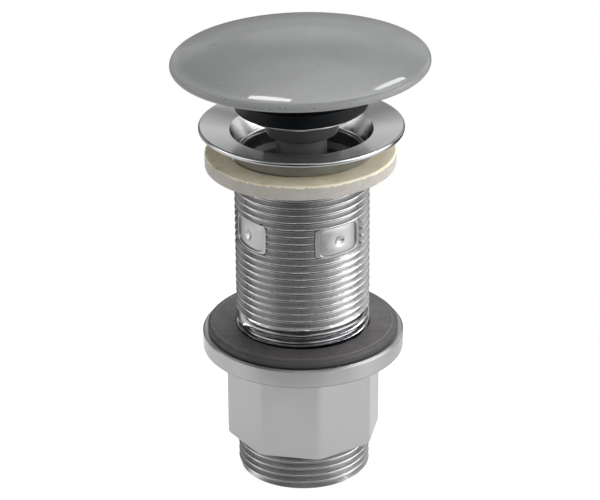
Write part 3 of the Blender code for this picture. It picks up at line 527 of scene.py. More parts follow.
def black_rubber():
    """Black rubber of the seal: a soft sheen broken by dust."""
    black = (0.004, 0.005, 0.006)
    look = Finish("black_rubber", black, 0.30, Specular_IOR_Level=0.12)
    dust = look.range(look.noise(1800, 5.0, 0.65), 0.60, 0.78)
    look.set("Base Color", look.mix(look.math("MULTIPLY", dust, 0.25), black, (0.03, 0.032, 0.034)))
    look.haze(600, 3.0, 0.28, 0.42)
    look.relief((look.noise(1500, 3.0), 0.00002))
    return look.material


def grey_moulding():
    """Dark grey plastic of the cartridge and spider, with a fine satin texture."""
    look = Finish("grey_moulding", (0.110, 0.111, 0.113), 0.42, Specular_IOR_Level=0.45)
    cloud = look.range(look.noise(260, 4.0), 0.3, 0.7)
    look.set("Base Color", look.mix(cloud, (0.118, 0.119, 0.121), (0.140, 0.141, 0.143)))
    look.haze(900, 3.0, 0.36, 0.50)
    look.relief((look.noise(3200, 2.0), 0.00001))
    return look.material


def dark_moulding():
    """Charcoal satin plastic of the sleeve."""
    look = Finish("dark_moulding", (0.050, 0.051, 0.053), 0.42, Specular_IOR_Level=0.35)
    look.haze(900, 3.0, 0.36, 0.50)
    look.relief((look.noise(3200, 2.0), 0.00001))
    return look.material


def polished_chrome():
    """Bright chrome of the rim, throat and clamping disc, with faint turning lines."""
    look = Finish("polished_chrome", (0.46, 0.465, 0.47), 0.16, 1.0, Specular_Tint=EDGE_TINT)
    wipe = look.range(look.noise(90, 4.0), 0.35, 0.7)
    look.set("Roughness", look.range(wipe, 0.0, 1.0, 0.14, 0.24))
    look.relief((look.noise(1400, 2.0, place=look.stretched(0.02, 0.02, 1.0)), 0.000004))
    return look.material


def satin_flange():
    """Lathe-brushed chrome of the dished flange: fine rings that spread highlights across them."""
    look = Finish(
        "satin_flange", (0.73, 0.73, 0.735), 0.27, 1.0, Anisotropic=0.95, Anisotropic_Rotation=0.25,
        Specular_Tint=EDGE_TINT)
    look.set("Tangent", node(look.tree, "Tangent", direction_type="RADIAL", axis="Z").outputs[0])
    rings = node(
        look.tree, "TexNoise", {"W": look.reach(), "Scale": 5200.0, "Detail": 2.0},
        noise_dimensions="1D").outputs["Fac"]
    look.set("Base Color", look.mix(rings, (0.78, 0.78, 0.785), (0.68, 0.68, 0.685)))
    look.relief((rings, 0.000002))
    return look.material


def thread_chrome():
    """Plated but unpolished thread: grainy flanks, pale worn crests, and darker towards the tail's foot."""
    look = Finish("thread_chrome", (0.36, 0.36, 0.365), 0.30, 1.0, Specular_Tint=EDGE_TINT)
    crest = look.range(look.reach(), (THREAD_RADIUS - 0.22) * MM, (THREAD_RADIUS - 0.06) * MM)
    grain = look.range(look.noise(3600, 3.0, 0.6, look.stretched(1.0, 1.0, 1.6)), 0.35, 0.75)
    body = look.mix(grain, (0.38, 0.38, 0.385), (0.34, 0.34, 0.345))
    body = look.mix(crest, body, (0.80, 0.80, 0.805))
    below = look.range(look.axis("Z"), (OCTAGON_FOOT + 0.6) * MM, (OCTAGON_FOOT + 0.1) * MM, 0.0, 0.28)
    look.set("Base Color", look.mix(below, body, (0.05, 0.05, 0.05)))
    look.haze(1500, 3.0, 0.27, 0.37)
    look.relief((look.noise(3600, 3.0, 0.6), 0.000004))
    return look.material


def foot_chrome():
    """Polished chrome of the turns at the tube's foot, with painted shade darkening the roots."""
    look = Finish("foot_chrome", (0.56, 0.565, 0.58), 0.16, 1.0, Specular_Tint=EDGE_TINT)
    crest = look.range(look.reach(), (THREAD_RADIUS - 1.25) * MM, (THREAD_RADIUS - 0.55) * MM)
    # Painted shade: the roots are painted dark and the crests pale, standing in for the shade in the grooves.
    look.set("Base Color", look.mix(crest, (0.24, 0.242, 0.247), (0.70, 0.705, 0.72)))
    look.haze(700, 3.0, 0.12, 0.22)
    look.relief((look.noise(1400, 3.0), 0.00002))
    return look.material


def panel_chrome():
    """Smooth cast chrome of the window panels."""
    look = Finish("panel_chrome", (0.43, 0.43, 0.435), 0.24, 1.0, Specular_Tint=EDGE_TINT)
    look.haze(500, 4.0, 0.32, 0.40)
    look.relief((look.noise(1100, 3.0), 0.00001))
    return look.material


def tail_chrome():
    """Satin chrome of the tail's flange and octagon: a faint upright brush, a painted shadow line between
    them.
    """
    look = Finish("tail_chrome", (0.36, 0.36, 0.36), 0.27, 1.0, Specular_Tint=(0.85, 0.85, 0.85, 1.0))
    brush = look.noise(1500, 3.0, place=look.stretched(1.0, 1.0, 0.06))
    height = look.axis("Z")
    # Painted shadow: a dark band where the flange's underside meets the octagon.
    under = look.range(height, (TAIL_FLANGE_FOOT + 0.45) * MM, (TAIL_FLANGE_FOOT + 0.15) * MM)
    above = look.range(height, (TAIL_FLANGE_FOOT - 0.6) * MM, (TAIL_FLANGE_FOOT - 0.3) * MM)
    body = look.mix(look.math("MULTIPLY", brush, 0.35), (0.35, 0.35, 0.35), (0.31, 0.31, 0.31))
    look.set("Base Color", look.mix(look.math("MULTIPLY", under, above), body, (0.02, 0.02, 0.02)))
    smear = look.range(look.noise(110, 2.0), 0.2, 0.8)
    look.set("Roughness", look.range(smear, 0.0, 1.0, 0.27, 0.32))
    return look.material


def machined_brass():
    """Plated brass of the inner fittings, with turning marks."""
    look = Finish("machined_brass", (0.52, 0.47, 0.34), 0.33, 1.0)
    lines = look.noise(1800, 2.0, place=look.stretched(0.03, 0.03, 1.0))
    look.set("Roughness", look.range(lines, 0.3, 0.7, 0.26, 0.40))
    look.relief((lines, 0.00002))
    return look.material


def spring_steel():
    """Stainless steel of the spring, pins and washers, drawn and slightly dull."""
    look = Finish("spring_steel", (0.52, 0.52, 0.52), 0.30, 1.0)
    look.haze(1600, 3.0, 0.24, 0.38)
    look.relief((look.noise(2400, 2.0), 0.00001))
    return look.material


def foam():
    """Off-white foam: pale open sides, a top painted lighter and warmer than the sides as painted light, fine
    pores and crumbs.
    """
    style = bpy.context.scene.waste_finishes
    look = Finish("foam", style.foam_side, 0.92, Specular_IOR_Level=0.2)
    top = span("foam_washer")[2]
    wander = look.range(look.noise(900, 4.0, 0.6), 0.2, 0.8, -0.4 * MM, 0.4 * MM)
    upper = look.range(look.math("ADD", look.axis("Z"), wander), (top - 0.75) * MM, (top - 0.35) * MM)
    blotch = look.range(look.noise(160, 5.0, 0.6), 0.35, 0.68)
    cloud = look.range(look.noise(420, 4.0), 0.3, 0.7)
    sides = look.mix(cloud, style.foam_side, scaled(style.foam_side, 0.90))
    # Painted light: the top takes a lighter, warmer copy of the foam's colour, standing in for the light that
    # falls on it.
    face = look.mix(blotch, style.foam_top_painted_light, scaled(style.foam_top_painted_light, 0.90, 0.87, 0.76))
    pore = look.range(look.noise(3800, 4.0, 0.7), 0.54, 0.70)
    body = look.mix(upper, sides, face)
    look.set("Base Color", look.mix(look.math("MULTIPLY", pore, 0.22), body, (0.30, 0.27, 0.20)))
    look.relief((look.noise(3800, 4.0, 0.7), -0.00010), (look.noise(900, 3.0), 0.00008))
    return look.material


def gasket_rubber():
    """Translucent grey-green rubber of the tapered gasket."""
    look = Finish(
        "gasket_rubber", (0.21, 0.205, 0.18), 0.38, Specular_IOR_Level=0.45,
        Subsurface_Weight=0.6, Subsurface_Scale=0.004)
    cloud = look.range(look.noise(240, 4.0), 0.3, 0.7)
    look.set("Base Color", look.mix(cloud, (0.17, 0.165, 0.14), (0.21, 0.205, 0.175)))
    look.relief((look.noise(800, 3.0), 0.00003))
    return look.material


def grey_rubber():
    """Grey rubber of the tail's washer: matt, faintly bloomed, with a painted highlight on its ridge and
    painted shade at its bevel.
    """
    look = Finish("grey_rubber", (0.078, 0.072, 0.075), 0.55, Specular_IOR_Level=0.4)
    bloom = look.range(look.noise(130, 5.0, 0.6), 0.32, 0.70)
    body = look.mix(bloom, (0.051, 0.047, 0.051), (0.069, 0.063, 0.067))
    edge, reach = washer_radius(), look.reach()
    # Painted highlight: a paler line along the ridge.
    ridge = look.math("ABSOLUTE", look.math("SUBTRACT", reach, (edge - WASHER_RIDGE) * MM))
    body = look.mix(look.range(ridge, 0.35 * MM, 0.10 * MM, 0.0, 0.7), body, (0.115, 0.107, 0.115))
    # Painted shade: the bevel is painted dark.
    bevel = look.range(reach, (edge - 0.9) * MM, (edge - 0.6) * MM, 0.0, 0.45)
    look.set("Base Color", look.mix(bevel, body, (0.020, 0.019, 0.020)))
    look.haze(300, 4.0, 0.46, 0.64)
    look.relief((look.noise(2600, 3.0), 0.00002))
    return look.material


FINISHES = {}


def finish(maker):
    """The material that a maker gives, made once."""
    if maker.__name__ not in FINISHES:
        FINISHES[maker.__name__] = maker()
    return FINISHES[maker.__name__]


# pieces


def sleeve_bore():
    """Radius of the hole that the sleeve's neck passes through, with its clearance."""
    return span("plug_sleeve")[0] - SLEEVE_WALL + CLEARANCE


def build_cap():
    """Ceramic cap: dome arc, shoulder arc and under-edge arc, then the recess and socket beneath."""
    sizes = bpy.context.scene.waste_sizes
    radius, bottom, top = span("cap")
    foot_ring, recess, hub_gap = 4.5, 1.5, 1.5
    dome_radius, shoulder = sizes.dome_radius / MM, sizes.cap_shoulder / MM
    centre = top - dome_radius
    shoulder_radius = radius - shoulder
    reach = dome_radius - shoulder
    rim = centre + math.sqrt(reach ** 2 - shoulder_radius ** 2)
    edge = rim - bottom
    meet = math.asin(shoulder_radius / reach)
    dome = swept_arc((0, centre), dome_radius, 0, meet, 44)
    corner = swept_arc((shoulder_radius, rim), shoulder, meet, math.pi / 2, 12)
    under = swept_arc((radius - edge, bottom + edge), edge, math.pi / 2, math.pi, 8)
    foot = radius - edge - foot_ring
    seat = span("plug_body")[0] + hub_gap
    insert_radius, _, insert_top = span("cap_insert")
    socket, ceiling = insert_radius + CLEARANCE, insert_top + CLEARANCE
    beneath = rounded([
        (radius - edge, bottom, 0), (foot, bottom, 0.5), (foot - recess, bottom + recess, 0.5),
        (seat + recess, bottom + recess, 0.5), (seat, bottom, 0.3), (socket, bottom, 0.15),
        (socket, ceiling, 0), (0, ceiling, 0)], closed=False)
    profile = np.vstack([dome, corner[1:], under[1:], beneath[1:]])
    settle(leant(turned("ceramic_cap", profile, finish(cap_glaze), 224, closed=False)), "plug", "cap")


def build_hub():
    """Black hub under the cap: a collar that steps out to a rounded foot, and a plate bored for the stud."""
    radius, bottom, top = span("plug_body")
    collar, step_top, step_foot = radius - 1.5, bottom + 4.4, bottom + 2.9
    plate, stud_hole = top - 3.3, 3.3
    groove_inner, groove_outer, groove_floor = 4.2, 6.4, top - 1.9
    bore = sleeve_bore()
    profile = rounded([
        (collar, top, 0.4), (collar, step_top, 1.5), (radius, step_foot, 0.35), (radius, bottom, 0.3),
        (bore, bottom, 0.2), (bore, plate, 0.3), (stud_hole, plate, 0.15), (stud_hole, top, 0.15),
        (groove_inner, top, 0.15), (groove_inner, groove_floor, 0.1), (groove_outer, groove_floor, 0.1),
        (groove_outer, top, 0.15)])
    settle(leant(turned("hub", profile, finish(black_moulding))), "plug", "plug_body")


def build_seal():
    """Sealing ring, with an upright rim, a sloping foot and a web, and the disc that clamps the web."""
    radius, bottom, top = span("plug_seal")
    lip, slope, web, bore = 2.7, 3.0, 3.0, sleeve_bore()
    profile = rounded([
        (radius, top, 0.45), (radius, bottom + 1.0, 0.7), (radius - slope, bottom, 0.4), (bore, bottom, 0.15),
        (bore, bottom + web, 0.15), (radius - lip, bottom + web, 0.2), (radius - lip, top, 0.45)])
    settle(leant(turned("sealing_ring", profile, finish(black_rubber))), "plug", "plug_seal")
    radius, bottom, top = span("seal_washer")
    profile = rounded([(radius, top, 0.25), (radius, bottom, 0.35), (bore, bottom, 0.1), (bore, top, 0.1)])
    settle(leant(turned("clamping_disc", profile, finish(polished_chrome))), "plug", "seal_washer")


def build_sleeve():
    """Grey sleeve: a skirt with a soft lower edge below the disc, and a neck up into the hub."""
    radius, bottom, top = span("plug_sleeve")
    neck, bore = radius - SLEEVE_WALL, radius - 2 * SLEEVE_WALL
    skirt_top = bottom + 6.0
    profile = rounded([
        (neck, top, 0.3), (neck, skirt_top, 0.1), (radius, skirt_top, 0.3), (radius, bottom, 0.5),
        (bore, bottom, 0.4), (bore, top, 0.2)])
    settle(leant(turned("sleeve", profile, finish(dark_moulding))), "plug", "plug_sleeve")


def build_cartridge():
    """Cartridge housing, turned, with a soft top edge and a stepped neck, and its end plug."""
    radius, bottom, top = span("cartridge_body")
    shoulder = span("spider")[1] + SPIDER_HUB_HEIGHT + CLEARANCE
    tube, bore, stem_hole, ceiling = 7.0, 6.0, 4.5, top - 1.2
    profile = rounded([
        (radius, top, 0.5), (radius, shoulder, 0.3), (tube, shoulder, 0.1), (tube, bottom, 0.3),
        (bore, bottom, 0.1), (bore, ceiling, 0.2), (stem_hole, ceiling, 0.1), (stem_hole, top, 0.3)])
    settle(turned("cartridge", profile, finish(grey_moulding), 96), "waste", "cartridge_body")
    radius, bottom, top = span("cartridge_end_plug")
    spigot, drain, flange = bore - CLEARANCE, 1.5, bottom + 1.5
    profile = rounded([
        (spigot, top, 0.3), (spigot, flange, 0.1), (radius, flange, 0.3), (radius, bottom, 0.4),
        (drain, bottom, 0.3), (drain, top, 0.2)])
    settle(turned("end_plug", profile, finish(grey_moulding), 96), "waste", "cartridge_end_plug")


def build_spring():
    """Return spring: a round wire carried along a helix with closed end turns.

    Height along the helix is the wire's radius, then a closed turn, even open turns and a closed turn.
    """
    radius, bottom, top = span("return_spring")
    wire, turns, closed_rise, travel = 0.45, 7, 0.95, 11.0
    height = top - bottom
    turn = np.linspace(0, turns, turns * 28 + 1)
    heights = (wire, wire + closed_rise, height - wire - closed_rise, height - wire)
    rise = np.interp(turn, (0, 1, turns - 1, turns), heights)
    around = np.linspace(0, TAU, 12, endpoint=False)
    thick = np.full(len(turn) + 2, wire)
    thick[[0, -1]] = 0
    turn, rise = np.pad(turn, 1, "edge")[:, None], np.pad(rise, 1, "edge")[:, None]
    reach = radius - wire + thick[:, None] * np.cos(around)
    level = bottom + rise + thick[:, None] * np.sin(around)
    points = np.stack([reach * np.cos(TAU * turn), reach * np.sin(TAU * turn), level], -1)
    spring = skin("coil_spring", points, wrap_rows=False, finishes=(finish(spring_steel),))
    settle(spring, "waste", "return_spring")
    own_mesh(spring)


def bar(name, half_length, half_width, low, high, azimuth, material):
    """Straight spoke: a superellipse section carried along its length, turned to its azimuth."""
    angle = np.linspace(0, TAU, 24, endpoint=False)
    power = 0.35
    across = half_width * np.sign(np.cos(angle)) * np.abs(np.cos(angle)) ** power
    up = (low + high) / 2 + (high - low) / 2 * np.sign(np.sin(angle)) * np.abs(np.sin(angle)) ** power
    middle = np.stack([np.zeros_like(up), np.full_like(up, (low + high) / 2)], 1)
    section = np.stack([across, up], 1)
    along = np.array([-half_length, -half_length, half_length, half_length])
    rings = np.stack([middle, section, section, middle])
    x, y, z = along[:, None] + 0 * rings[..., 0], rings[..., 0], rings[..., 1]
    cosine, sine = math.cos(azimuth), math.sin(azimuth)
    points = np.stack([x * cosine - y * sine, x * sine + y * cosine, z], -1)
    return skin(name, points, wrap_rows=False, finishes=(material,))


def build_spider():
    """Spider: chamfered ring, two crossing bars and a hub, joined into one solid and bored."""
    _, bottom, top = span("spider")
    radius, wall, chamfer, spoke_drop = 18.3, 1.5, 0.4, 3.1
    hub_radius, hub_top, seat_radius, drain_radius = 10.0, bottom + SPIDER_HUB_HEIGHT, 8.05, 7.3
    grey = finish(grey_moulding)
    ring = rounded([
        (radius, top, 0.1), (radius, bottom, 0.2), (radius - wall, bottom, 0.2),
        (radius - wall, top - 1.6, 0.3), (radius - chamfer, top, 0.1)])
    piece = turned("spider_ring", ring, grey, 160)
    for index in range(2):
        azimuth = index * math.pi / 2
        spoke = bar(f"spoke_{index}", radius - wall / 2, 1.2, bottom, top - spoke_drop, azimuth, grey)
        combine(piece, spoke, "UNION")
    hub = rounded([(hub_radius, hub_top, 0.3), (hub_radius, bottom, 0.3), (0, bottom, 0), (0, hub_top, 0)])
    combine(piece, turned("hub_boss", hub, grey, 96), "UNION")
    below = bottom - 1
    seat = [
        (seat_radius, top), (seat_radius, hub_top), (drain_radius, hub_top), (drain_radius, below),
        (0, below), (0, top)]
    combine(piece, turned("hub_seat", seat, grey, 96), "DIFFERENCE")
    settle(piece, "waste", "spider")


def window_outline(half_width, half_height, corner, count=96):
    """Rounded rectangle of two half sizes: a superellipse whose power follows the corner's share."""
    angle = np.linspace(0, TAU, count, endpoint=False)
    power = np.clip(2 * half_height / max(corner, 0.05) / 1.6, 2, 14)
    across, up = np.cos(angle), np.sin(angle)
    scale = (np.abs(across) ** power + np.abs(up) ** power) ** (-1 / power)
    return half_width * across * scale, half_height * up * scale


def window_solid(name, rings, azimuth, material):
    """Closed solid of a window: rings (half width, half height, corner, radius) wrapped round the axis.

    A ring of equal half sizes is a circle of the dimple, which sits a little below the middle.
    """
    grids = []
    for half_width, half_height, corner, radius in rings:
        circle = half_width == half_height
        across, up = window_outline(half_width, half_height, half_height if circle else corner)
        if circle:
            angle = np.linspace(0, TAU, len(across), endpoint=False)
            across, up = half_width * np.cos(angle), half_height * np.sin(angle)
        turn = math.radians(azimuth) + across / PANEL_FLOOR
        drop = DIMPLE_DROP if circle else 0.0
        grids.append(np.stack([radius * np.cos(turn), radius * np.sin(turn), WINDOW_LEVEL - drop + up], 1))
    return skin(name, np.stack(grids), wrap_rows=False, finishes=(material,))


def set_window(piece, azimuth):
    """Cut a window's well through the turns, then set its frame, sunk panel and dimple in it.

    The inner rings of each end cap keep its faces small and even.
    """
    panel = finish(panel_chrome)
    well_floor, frame_foot, ledge, floor = 18.45, 18.25, LEDGE_FLOOR, PANEL_FLOOR
    well = [
        (0.0, 0.0, 1.0, well_floor), (2.8, 1.7, 1.0, well_floor), (5.4, 3.4, 1.0, well_floor),
        (8.5, 5.05, 0.8, well_floor), (8.5, 5.05, 0.8, 19.9), (8.85, 5.3, 0.8, 20.6), (9.3, 5.6, 0.8, 22.4),
        (0.0, 0.0, 1.0, 22.4)]
    combine(piece, window_solid("well", well, azimuth, panel), "DIFFERENCE")
    frame_rings = [
        (0.0, 0.0, 1.0, frame_foot), (2.7, 1.6, 1.0, frame_foot), (5.3, 3.3, 1.0, frame_foot),
        (8.38, 4.95, 0.8, frame_foot), (8.38, 4.95, 0.8, ledge - 0.12), (8.26, 4.86, 0.8, ledge),
        (7.05, 4.50, 0.8, ledge), (6.95, 4.42, 0.8, ledge - 0.1), (6.86, 4.36, 0.8, floor - 0.15),
        (6.76, 4.29, 0.8, floor - 0.15), (6.66, 4.22, 0.8, floor - 0.02), (6.56, 4.15, 0.8, floor),
        (4.2, 2.9, 1.4, floor), (1.95, 1.95, 1.9, floor), (1.75, 1.75, 1.7, floor - 0.04),
        (1.4, 1.4, 1.4, floor - 0.30), (0.9, 0.9, 0.9, floor - 0.60), (0.4, 0.4, 0.4, floor - 0.75),
        (0.0, 0.0, 1.0, floor - 0.78)]
    combine(piece, window_solid("frame", frame_rings, azimuth, panel), "UNION")


def chips(spots, material):
    """Tool of small balls, as (azimuth, height, distance from the axis, radius), that leave dark chips."""
    turn, rise = np.meshgrid(np.linspace(0, TAU, 10, endpoint=False), np.linspace(0, math.pi, 7))
    ball = np.stack([np.sin(rise) * np.cos(turn), np.sin(rise) * np.sin(turn), np.cos(rise)], -1)
    tools = []
    for azimuth, height, distance, radius in spots:
        turned_to = math.radians(azimuth)
        middle = np.array([distance * math.cos(turned_to), distance * math.sin(turned_to), height])
        tools.append(skin("chip", middle + radius * ball, wrap_rows=False, finishes=(material,)))
    bm = bmesh.new()
    for tool in tools:
        bm.from_mesh(tool.data)
    bm.to_mesh(tools[0].data)
    bm.free()
    for tool in tools[1:]:
        bpy.data.objects.remove(tool)
    return tools[0]


def foot_form(level, around):
    """Long thread down to its last crest, then the foot's turns, whose top flank fills up at the left."""
    foot = np.interp(level, *np.array(FOOT_FORM).T)
    filled = np.clip((FILLED_EDGE - around) / FILLED_BLEND, 0, 1)
    flank = np.interp(level, *np.array(FILLED_FORM).T)
    foot = np.where(level > FILLED_FROM, foot + (flank - foot) * filled, foot)
    return np.where(level > LAST_CREST, thread_form((level - LAST_CREST) / PITCH), foot)


def build_body():
    """Waste body: flange, neck, helical thread and bore in one closed surface, with four windows cut in."""
    _, low, _ = span("waste_body")
    high = NECK_LEVEL - 1.7
    rim_radius, rim_top, rim_wall = 31.5, 116.1, 1.5
    dish_radius, dish_level = 22.0, 114.6
    bore, ledge, throat_foot = 18.0, 95.0, 108.0
    ease_from, worn_from = 2.4, LAST_CREST - 1.6
    angles = np.linspace(0, TAU, 217)
    flange = rounded([
        (dish_radius, dish_level, 0.8), (rim_radius, rim_top, 0.55), (rim_radius, rim_top - rim_wall, 0.7),
        (22.48, 112.9, 0.3), (THREAD_RADIUS, NECK_LEVEL, 0.3), (THREAD_RADIUS, high, 0)],
        steps=8, closed=False)
    flange[0] = (dish_radius - 0.02, dish_level - 0.05)

    def radius_at(angle, height):
        """The form's radius, worn at the crests; at the back each turn eases into the next."""
        level, around = front_height(angle, height)
        ease = np.clip((np.abs(around) - ease_from) / (math.pi - ease_from), 0, 1)
        ease = 0.5 * ease * ease * (3 - 2 * ease)
        next_turn = foot_form(level + PITCH * np.sign(around), around)
        shape = (1 - ease) * foot_form(level, around) + ease * next_turn
        fade = np.clip((high - 1.0 - height) / 1.2, 0, 1) * np.clip((height - low) / 1.0, 0, 1)
        wear = ripple(angle, height, 7, 0.030) + ripple(angle, height, 11, 0.022, (60, 190), (2.0, 9.0))
        crest = THREAD_RADIUS - CREST_WEAR + np.minimum(wear, 0.05) * shape * (level > worn_from)
        return crest - THREAD_DEPTH * (1 - shape) * fade

    threads = np.concatenate([
        thread_grid(FOOT_TOP, high, angles, LAST_CREST, radius_at),
        thread_grid(FOOT_END, FOOT_TOP, angles, LAST_CREST, radius_at, EVEN_PHASES)[1:],
        thread_grid(low, FOOT_END, angles, LAST_CREST, radius_at)[1:]])
    inside = rounded([
        (THREAD_RADIUS - 0.3, low, 0), (bore, low, 0.3), (bore, ledge, 0.15), (bore + 0.6, ledge, 0.15),
        (bore + 0.6, throat_foot - 0.4, 0.2), (bore + 1.6, throat_foot, 0.3), (dish_radius, dish_level, 0)],
        steps=5, closed=False)
    points = np.concatenate([revolve(flange, angles), threads[1:], revolve(inside, angles)])
    satin, bright, thread, foot = range(4)
    across, up = ((flange[:-1] + flange[1:]) / 2).T
    on_dish = (across > dish_radius + 0.6) & (across < rim_radius - 0.5) & (up > rim_top - 1.6)
    on_thread = threads[1:, :, 2].mean(1) > LAST_CREST - 1.1
    # Painted shade: rows of the bore below the throat take the darker thread finish in place of bright
    # chrome.
    row_finish = np.concatenate([
        np.where(on_dish, satin, bright), [bright], np.where(on_thread, thread, foot),
        np.where(inside[:, 1] > throat_foot - 0.2, bright, thread)])
    made = [finish(maker) for maker in (satin_flange, polished_chrome, thread_chrome, foot_chrome)]
    piece = skin("waste_body_skin", points, wrap_columns=False, finishes=made, row_finish=row_finish)
    for azimuth in WINDOW_AZIMUTHS:
        set_window(piece, azimuth)
    combine(piece, chips(CHIPS, finish(black_moulding)), "DIFFERENCE")
    settle(piece, "waste", "waste_body")


def build_gasket():
    """Tapered gasket: a cone-shaped ring whose foot is narrower than its top, with a soft lower edge."""
    _, bottom, top = span("flange_gasket")
    foot_wall, top_wall, inner_foot, outer_top = 1.1, 2.0, THREAD_RADIUS + CLEARANCE, 24.67
    profile = rounded([
        (outer_top, top, 0.3), (inner_foot + foot_wall, bottom, 0.25), (inner_foot, bottom, 0.1),
        (inner_foot, NECK_LEVEL, 0.1), (outer_top - top_wall, top, 0.1)])
    settle(turned("tapered_gasket", profile, finish(gasket_rubber)), "waste", "flange_gasket")


def build_foam():
    """Foam washer: a ring whose radius and upper edge wander by seeded noise, a little off level."""
    radius, bottom, top = span("foam_washer")
    outer, bore = radius - 0.12, 21.6
    angles = np.linspace(0, TAU, 288, endpoint=False)
    corners = [(outer, top, 0.5), (outer, bottom, 0.6), (bore, bottom, 0.2), (bore, top, 0.3)]
    profile = rounded(corners, steps=8)
    points = revolve(profile, angles)
    angle, height = np.broadcast_to(angles, points.shape[:2]), points[..., 2]
    rim = (profile[:, 0] > radius - 1.2)[:, None]
    waves = ripple(angle, height, 3, 0.0022, (2, 9), (0.1, 0.6))
    waves = waves + ripple(angle, height, 5, 0.0014, (20, 120), (0.5, 4.0))
    lift = ripple(angle, height * 0, 9, 0.05, (2, 14), (0.1, 0.2))
    points[..., :2] *= np.minimum(1 + rim * waves, 1.004)[..., None]
    points[..., 2] += np.where(height > (top + bottom) / 2, lift, 0)
    points[..., 2] += math.tan(FOAM_LEAN) * points[..., 0]
    points[..., 0] += FOAM_SHIFT
    settle(skin("foam_ring", points, finishes=(finish(foam),)), "waste", "foam_washer")


def washer_radius():
    """Radius of the grey washer as the photograph shows it, a little inside the tail's flange."""
    return span("tail_washer")[0] - 0.2


def build_tail_washer():
    """Grey washer on the tail's flange, with a moulded ridge line and a bevelled outer edge."""
    _, bottom, top = span("tail_washer")
    radius, bottom, bore = washer_radius(), bottom - 0.25, 21.05
    ridge, half_ridge = radius - WASHER_RIDGE, 0.2
    profile = rounded([
        (ridge - half_ridge, top, 0.1), (ridge, top + 0.13, 0.1), (ridge + half_ridge, top, 0.1),
        (radius - 0.7, top, 0.15), (radius, top - 0.6, 0.15), (radius, bottom, 0.15),
        (bore, bottom, 0.1), (bore, top, 0.1)], steps=4)
    settle(turned("grey_washer", profile, finish(grey_rubber)), "tail_ring", "tail_washer")


def octagon_radius(angle, flat, turn):
    """Radius of an octagon with soft corners: the eight flats' cosines blended by a high power."""
    power = 42.0
    offsets = turn + np.arange(8) * TAU / 8
    lobes = np.clip(np.cos(angle[None, :] - offsets[:, None]), 0, 1) ** power
    return flat / lobes.sum(0) ** (1 / power)


def build_tail():
    """Tail: flange, octagon, lower thread and bore in one closed surface."""
    radius, bottom, top = span("tail_body")
    turn, flats = math.radians(33.5), 22.98
    neck, socket, bore, shoulder = 25.6, THREAD_RADIUS + CLEARANCE, THREAD_RADIUS - 3.9, OCTAGON_FOOT + 2.0
    octant = np.linspace(-0.5, 0.5, 29)
    octant = 0.5 * np.sign(octant) * (1 - (1 - np.abs(octant) * 2) ** 1.6)
    angles = np.concatenate([turn + (side + octant[:-1]) * TAU / 8 for side in range(8)])
    angles = np.append(angles, angles[0] + TAU)
    upper = revolve(rounded([
        (socket, top, 0), (radius - 0.5, top, 0.15), (radius, top - 0.5, 0.2),
        (radius, TAIL_FLANGE_FOOT, 0.5), (neck, TAIL_FLANGE_FOOT, 0)], steps=6, closed=False), angles)
    side = rounded([
        (neck, TAIL_FLANGE_FOOT, 0), (0, TAIL_FLANGE_FOOT, 0.25), (0, OCTAGON_FOOT, 0.35),
        (-1.2, OCTAGON_FOOT, 0)], steps=5, closed=False)[1:]
    reach = octagon_radius(angles, flats, turn)[None, :] + side[:, :1]
    prism = np.stack([
        reach * np.cos(angles), reach * np.sin(angles), np.broadcast_to(side[:, 1:2], reach.shape)], -1)

    def radius_at(angle, height):
        """Thread form that runs out under the octagon and ends in a chamfer at the foot."""
        level, _ = front_height(angle, height)
        depth = np.clip((OCTAGON_FOOT - 0.3 - height) / 0.8, 0, 1)
        chamfer = THREAD_RADIUS - np.clip(0.7 - height, 0, 0.7) * 1.1
        cut = THREAD_DEPTH * (1 - thread_form((level - TAIL_CREST) / PITCH)) * depth
        return np.minimum(THREAD_RADIUS - CREST_WEAR - cut, chamfer)

    threads = thread_grid(bottom, OCTAGON_FOOT, angles, TAIL_CREST, radius_at)
    inside = revolve(rounded([
        (19.5, bottom, 0), (bore, bottom, 0.4), (bore, shoulder, 0.2), (socket, shoulder, 0.2),
        (socket, top, 0)], steps=5, closed=False), angles)
    points = np.concatenate([upper, prism, threads, inside[:-1]])
    row_finish = np.repeat((0, 1, 0), (len(upper) + len(prism) - 1, len(threads) + 1, len(inside) - 1))
    made = (finish(tail_chrome), finish(thread_chrome))
    piece = skin("tail", points, wrap_columns=False, finishes=made, row_finish=row_finish)
    settle(piece, "tail", "tail_body")


def finish_inner():
    """Finishes of the CAD nodes that stay: the fittings inside the plug and the cartridge."""
    chosen = {
        machined_brass: ("cap_insert", "stud_nut", "plunger"),
        spring_steel: ("centre_stud", "thrust_washer", "stem_clip", "guide_pin_front", "guide_pin_back"),
        black_rubber: ("stud_o_ring",),
        black_moulding: ("index_drum",),
    }
    for maker, names in chosen.items():
        for name in names:
            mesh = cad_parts[name].data
            mesh.materials.clear()
            mesh.materials.append(finish(maker))


# stage


def build_floor():
    """Plain pale floor under the tail, lit from below like a light table."""
    mesh = bpy.data.meshes.new("floor")
    turns = np.linspace(0, TAU, 96, endpoint=False)
    rim = [(FLOOR_RADIUS * math.cos(turn), FLOOR_RADIUS * math.sin(turn), 0) for turn in turns]
    mesh.from_pydata(rim, [], [range(len(rim))])
    floor = bpy.data.objects.new("floor", mesh)
    floor.location.z = -FLOOR_DROP
    bpy.context.scene.collection.objects.link(floor)
    look = Finish("floor", (0.3, 0.3, 0.3), 0.9, Specular_IOR_Level=0.0)
    look.set("Emission Color", (1.0, 1.0, 1.0, 1.0))
    look.set("Emission Strength", FLOOR_GLOW)
    mesh.materials.append(look.material)


